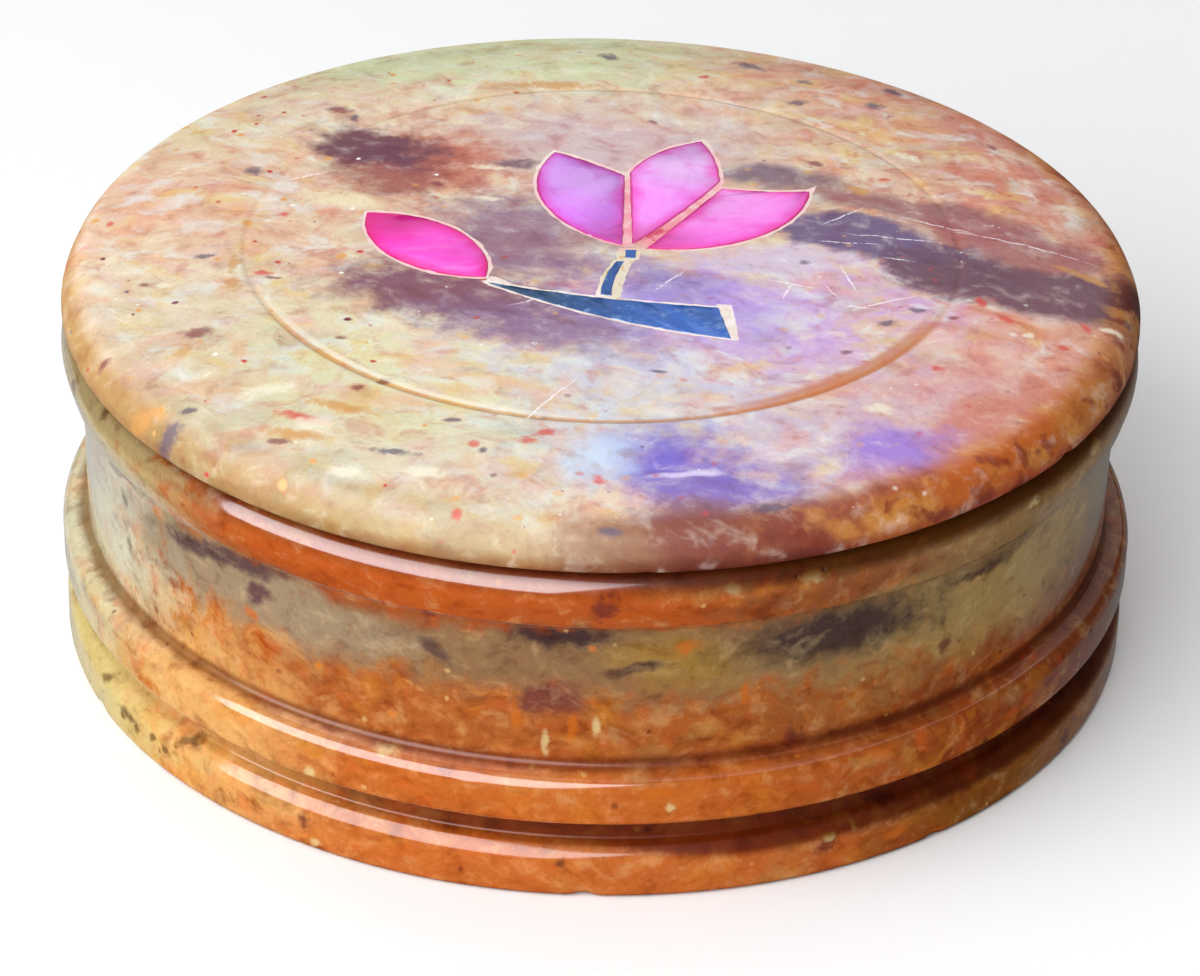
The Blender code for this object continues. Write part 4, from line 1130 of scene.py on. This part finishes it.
def dyed_stone(name):
    """The finish of one dyed chip."""
    heart, rim, light, light_at, dark, dark_at = DYES[name]
    chip = Finish("dyed_" + name)
    bent = chip.moved(chip.place, 2.6, 0.5)
    x, y, _ = chip.split(bent)
    fan = chip.math("ARCTAN2", x - FLOWER_FOOT[0], y - FLOWER_FOOT[1])
    reach = chip.vector("DISTANCE", bent, (*FLOWER_FOOT, LID_TOP), out="Value")
    fibre = chip.clouds(chip.join(fan * 16.0, reach * 0.22, 0.0), 1.0, 3.0, 0.6)
    cloud = chip.clouds(bent, 3.4, 3.0, 0.55)
    grain = chip.clouds(chip.place, 0.35, 2.0, 0.6)
    inwards = to_edge(chip, CHIPS[name])

    pale = chip.patch(bent, *light_at, 6.0, 4.6, 20, 0.75)
    deep = chip.patch(bent, *dark_at, 3.6, 3.0, 0, 0.8)
    stone = chip.blend(srgb(*heart), srgb(*light), pale * (0.35 + cloud * 0.7))
    stone = chip.tint(stone, srgb(255, 214, 248), chip.between(fibre, 0.5, 0.74) * 0.12, "SCREEN")
    stone = chip.tint(stone, srgb(244, 176, 226), chip.between(fibre, 0.48, 0.28) * 0.16)
    stone = chip.tint(stone, srgb(246, 168, 224), chip.between(cloud, 0.5, 0.3) * 0.5)
    stone = chip.blend(stone, srgb(*rim), chip.between(inwards + (cloud - 0.5) * 1.8, 1.5, -0.2) * 0.8)
    outer_line = chip.between(inwards + (cloud - 0.5) * 0.3, 0.32, 0.06) * 0.75
    stone = chip.blend(stone, srgb(*dark), chip.math("MAXIMUM", deep * 0.55, outer_line))
    chip.set(Base_Color=stone, Roughness=0.2 + (grain - 0.5) * 0.12, **POLISHED_CHIP)
    chip.bump(cloud * 0.012 + fibre * 0.002 + grain * 0.0015)
    return chip.material


def blue_stone():
    """The dark blue of the stem and the stalk."""
    chip = Finish("blue_stone")
    bent = chip.moved(chip.place, 1.6, 0.4)
    x, _, _ = chip.split(bent)
    cloud = chip.clouds(bent, 1.5, 4.0, 0.65)
    grain = chip.clouds(chip.place, 0.3, 2.0, 0.6)
    stone = chip.blend(srgb(34, 74, 112), srgb(52, 102, 188), chip.between(x + cloud * 3, -6.0, 8.0))
    stone = chip.tint(stone, srgb(170, 200, 240), chip.between(cloud, 0.5, 0.74) * 0.4, "SCREEN")
    stone = chip.tint(stone, srgb(120, 140, 170), chip.between(cloud, 0.46, 0.28) * 0.6)
    flecks = chip.specks(bent, 1.3, 0.12, 0.3, 5.0)
    stone = chip.blend(stone, srgb(150, 176, 214), flecks * 0.6)
    chip.set(Base_Color=stone, Roughness=0.22 + (grain - 0.5) * 0.14, **POLISHED_CHIP)
    chip.bump(cloud * 0.01 + grain * 0.002)
    return chip.material


def cement_stone():
    """Cream cement that took up some dye beside the petals and the bud, and dirt by the stalk."""
    cement = Finish("cement")
    bent = cement.moved(cement.place, 1.2, 0.25)
    cloud = cement.clouds(bent, 1.4, 4.0, 0.65)
    grain = cement.clouds(cement.place, 0.16, 2.0, 0.6)
    petals = cement.patch(bent, 6.5, 10.5, 14, 11.5, 0, 0.15)
    bud = cement.patch(bent, -16.3, -0.8, 8.4, 6.2, -45, 0.15)
    dyed = cement.math("MAXIMUM", petals, bud)
    between_petals = cement.patch(bent, 5.2, 6.6, 6.8, 9.0, -30, 0.15)
    stone = cement.blend(srgb(232, 214, 204), srgb(246, 236, 228), cement.between(cloud, 0.4, 0.62))
    stone = cement.blend(stone, srgb(240, 180, 186), dyed * cement.between(cloud, 0.3, 0.6) * 0.8)
    rosy = between_petals * cement.between(cloud, 0.66, 0.42) * 0.8
    stone = cement.blend(stone, srgb(238, 130, 150), rosy)
    crimson = cement.patch(bent, 4.6, 1.8, 3.4, 0.9, 52, 0.4)
    stone = cement.blend(stone, srgb(206, 20, 74), crimson * cement.between(cloud, 0.4, 0.56) * 0.9)
    stalk = cement.patch(bent, 2.4, -5.4, 2.4, 5.6, -8, 0.2)
    stone = cement.blend(stone, srgb(220, 210, 180), stalk * 0.7)
    stone = cement.blend(stone, srgb(198, 140, 52), stalk * cement.between(cloud, 0.54, 0.66) * 0.8)
    cement.set(Base_Color=stone, Roughness=0.55 + (grain - 0.5) * 0.3, IOR=1.5)
    cement.bump(cloud * 0.02 + grain * 0.01)
    return cement.material


chip_finishes = {name: dyed_stone(name) for name in DYES}
chip_finishes.update(dict.fromkeys(("stem", "stalk_lower", "stalk_upper"), blue_stone()))
cement_finish = cement_stone()
print("finishes of the inlay:", sorted({finish.name for finish in chip_finishes.values()}))

# %% [markdown]
# The chips stand a hundredth of a millimetre above the lid, as harder stone does after sanding. Each rides
# on the lid and takes the place of its plain solid.

# %% Laying the flower
CHIP_SLOTS = {
    "petal_left": "chip_violet", "petal_middle": "chip_lilac", "petal_right": "chip_pink",
    "bud": "chip_magenta", "stem": "chip_blue", "stalk_lower": "chip_blue", "stalk_upper": "chip_blue",
}
CHIP_THICKNESS, CHIP_PROUD, CHIP_EDGE = 1.0, 0.012, 0.06
cement = add_piece("cement", cement_mesh, cement_finish)
pieces = [(lid, "lid", "stone_lid"), (cement, "inlay_cement", "cement_cream")]
for name, corners in CHIPS.items():
    outline = sawn(corners, 0.0, SAW_TREMBLE)
    mesh = slab("chip_" + name, outline, LID_TOP - CHIP_THICKNESS, LID_TOP + CHIP_PROUD, CHIP_EDGE)
    pieces.append((add_piece("chip_" + name, mesh, chip_finishes[name]), name, CHIP_SLOTS[name]))

for piece, node, slot in pieces:
    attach(piece, "lid")
    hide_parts(node)
print([(piece.name, len(piece.data.polygons)) for piece, _, _ in pieces])

# %% [markdown]
# ## Floor and light
#
# The box stands on a plain pale floor. One large window at the front left lights it, so the beads show a
# long soft gleam on that side and the right side falls into shade. A second lamp just before it, a little
# blue, is seen by reflections alone, and makes the gleam as bright as a bare pane. A weak ceiling lamp
# whitens the floor. The floor and the room's even light stay out of the reflections, so that the dark stone
# keeps its depth. In their place, two lamps below the level of the floor and one behind the box give the
# sides and the top a faint sheen, in reflections alone too.

# %% Floor
FLOOR_HALF = 3.0


def floor_paint():
    paint = Finish("floor_paint")
    haze = paint.clouds(paint.place, 60.0, 3.0, 0.5)
    grain = paint.clouds(paint.place, 1.2, 3.0, 0.6)
    paint.set(Base_Color=paint.blend(srgb(246, 246, 246), srgb(249, 249, 249), haze), Roughness=0.75)
    paint.bump(grain * 0.01)
    return paint.material


sheet = bpy.data.meshes.new("floor")
corners = [(x * FLOOR_HALF, y * FLOOR_HALF, 0) for x, y in ((-1, -1), (1, -1), (1, 1), (-1, 1))]
sheet.from_pydata(corners, [], [(0, 1, 2, 3)])
floor = add_piece("floor", sheet, floor_paint())
floor.visible_glossy = False
print("floor", 2 * FLOOR_HALF, "m across")

# %% Light
BOX_MIDDLE = Vector((0, 0, 0.02))
WINDOW_AT, WINDOW_SIZE = (-42, 38), (1.2, 0.8)
GLEAM_TINT = (0.74, 0.9, 1.0)
ROOM_LIGHT = 0.22


def softbox(name, azimuth, elevation, distance, size, radiance):
    """A soft rectangular lamp that faces the box, its azimuth counted from the front towards the right."""
    lamp = bpy.data.objects.new(name, bpy.data.lights.new(name, "AREA"))
    lamp.data.shape = "RECTANGLE"
    lamp.data.size, lamp.data.size_y = size
    lamp.data.energy = radiance * math.pi * size[0] * size[1]
    level = math.cos(math.radians(elevation))
    side, ahead = math.sin(math.radians(azimuth)) * level, -math.cos(math.radians(azimuth)) * level
    way = Vector((side, ahead, math.sin(math.radians(elevation))))
    lamp.location = BOX_MIDDLE + way * distance
    lamp.rotation_euler = way.to_track_quat("Z", "Y").to_euler()
    bpy.context.scene.collection.objects.link(lamp)
    return lamp


window = softbox("window", *WINDOW_AT, 0.85, WINDOW_SIZE, 3.3)
gleam = softbox("gleam", *WINDOW_AT, 0.84, WINDOW_SIZE, 6.6)
gleam.data.color = GLEAM_TINT
ceiling = softbox("ceiling", 180, 78, 1.5, (1.8, 1.8), 1.0)
glow_left = softbox("glow_left", -152, -30, 0.9, (0.8, 0.8), 0.5)
glow_right = softbox("glow_right", 150, -20, 0.9, (1.4, 0.8), 0.15)
sheen = softbox("sheen", 180, 30, 0.9, (1.4, 0.6), 0.3)
for lamp in (gleam, glow_left, glow_right, sheen):
    lamp.visible_diffuse = False
lamps = window, gleam, ceiling, glow_left, glow_right, sheen
print([(lamp.name, round(lamp.data.energy, 1)) for lamp in lamps])

world = bpy.data.worlds.new("room")
world.use_nodes = True
world.node_tree.nodes["Background"].inputs["Color"].default_value = srgb(250, 251, 255)
world.node_tree.nodes["Background"].inputs["Strength"].default_value = ROOM_LIGHT
bpy.context.scene.world = world
world.cycles_visibility.glossy = False
bpy.context.scene.view_settings.view_transform = "Standard"
print("room light", ROOM_LIGHT)
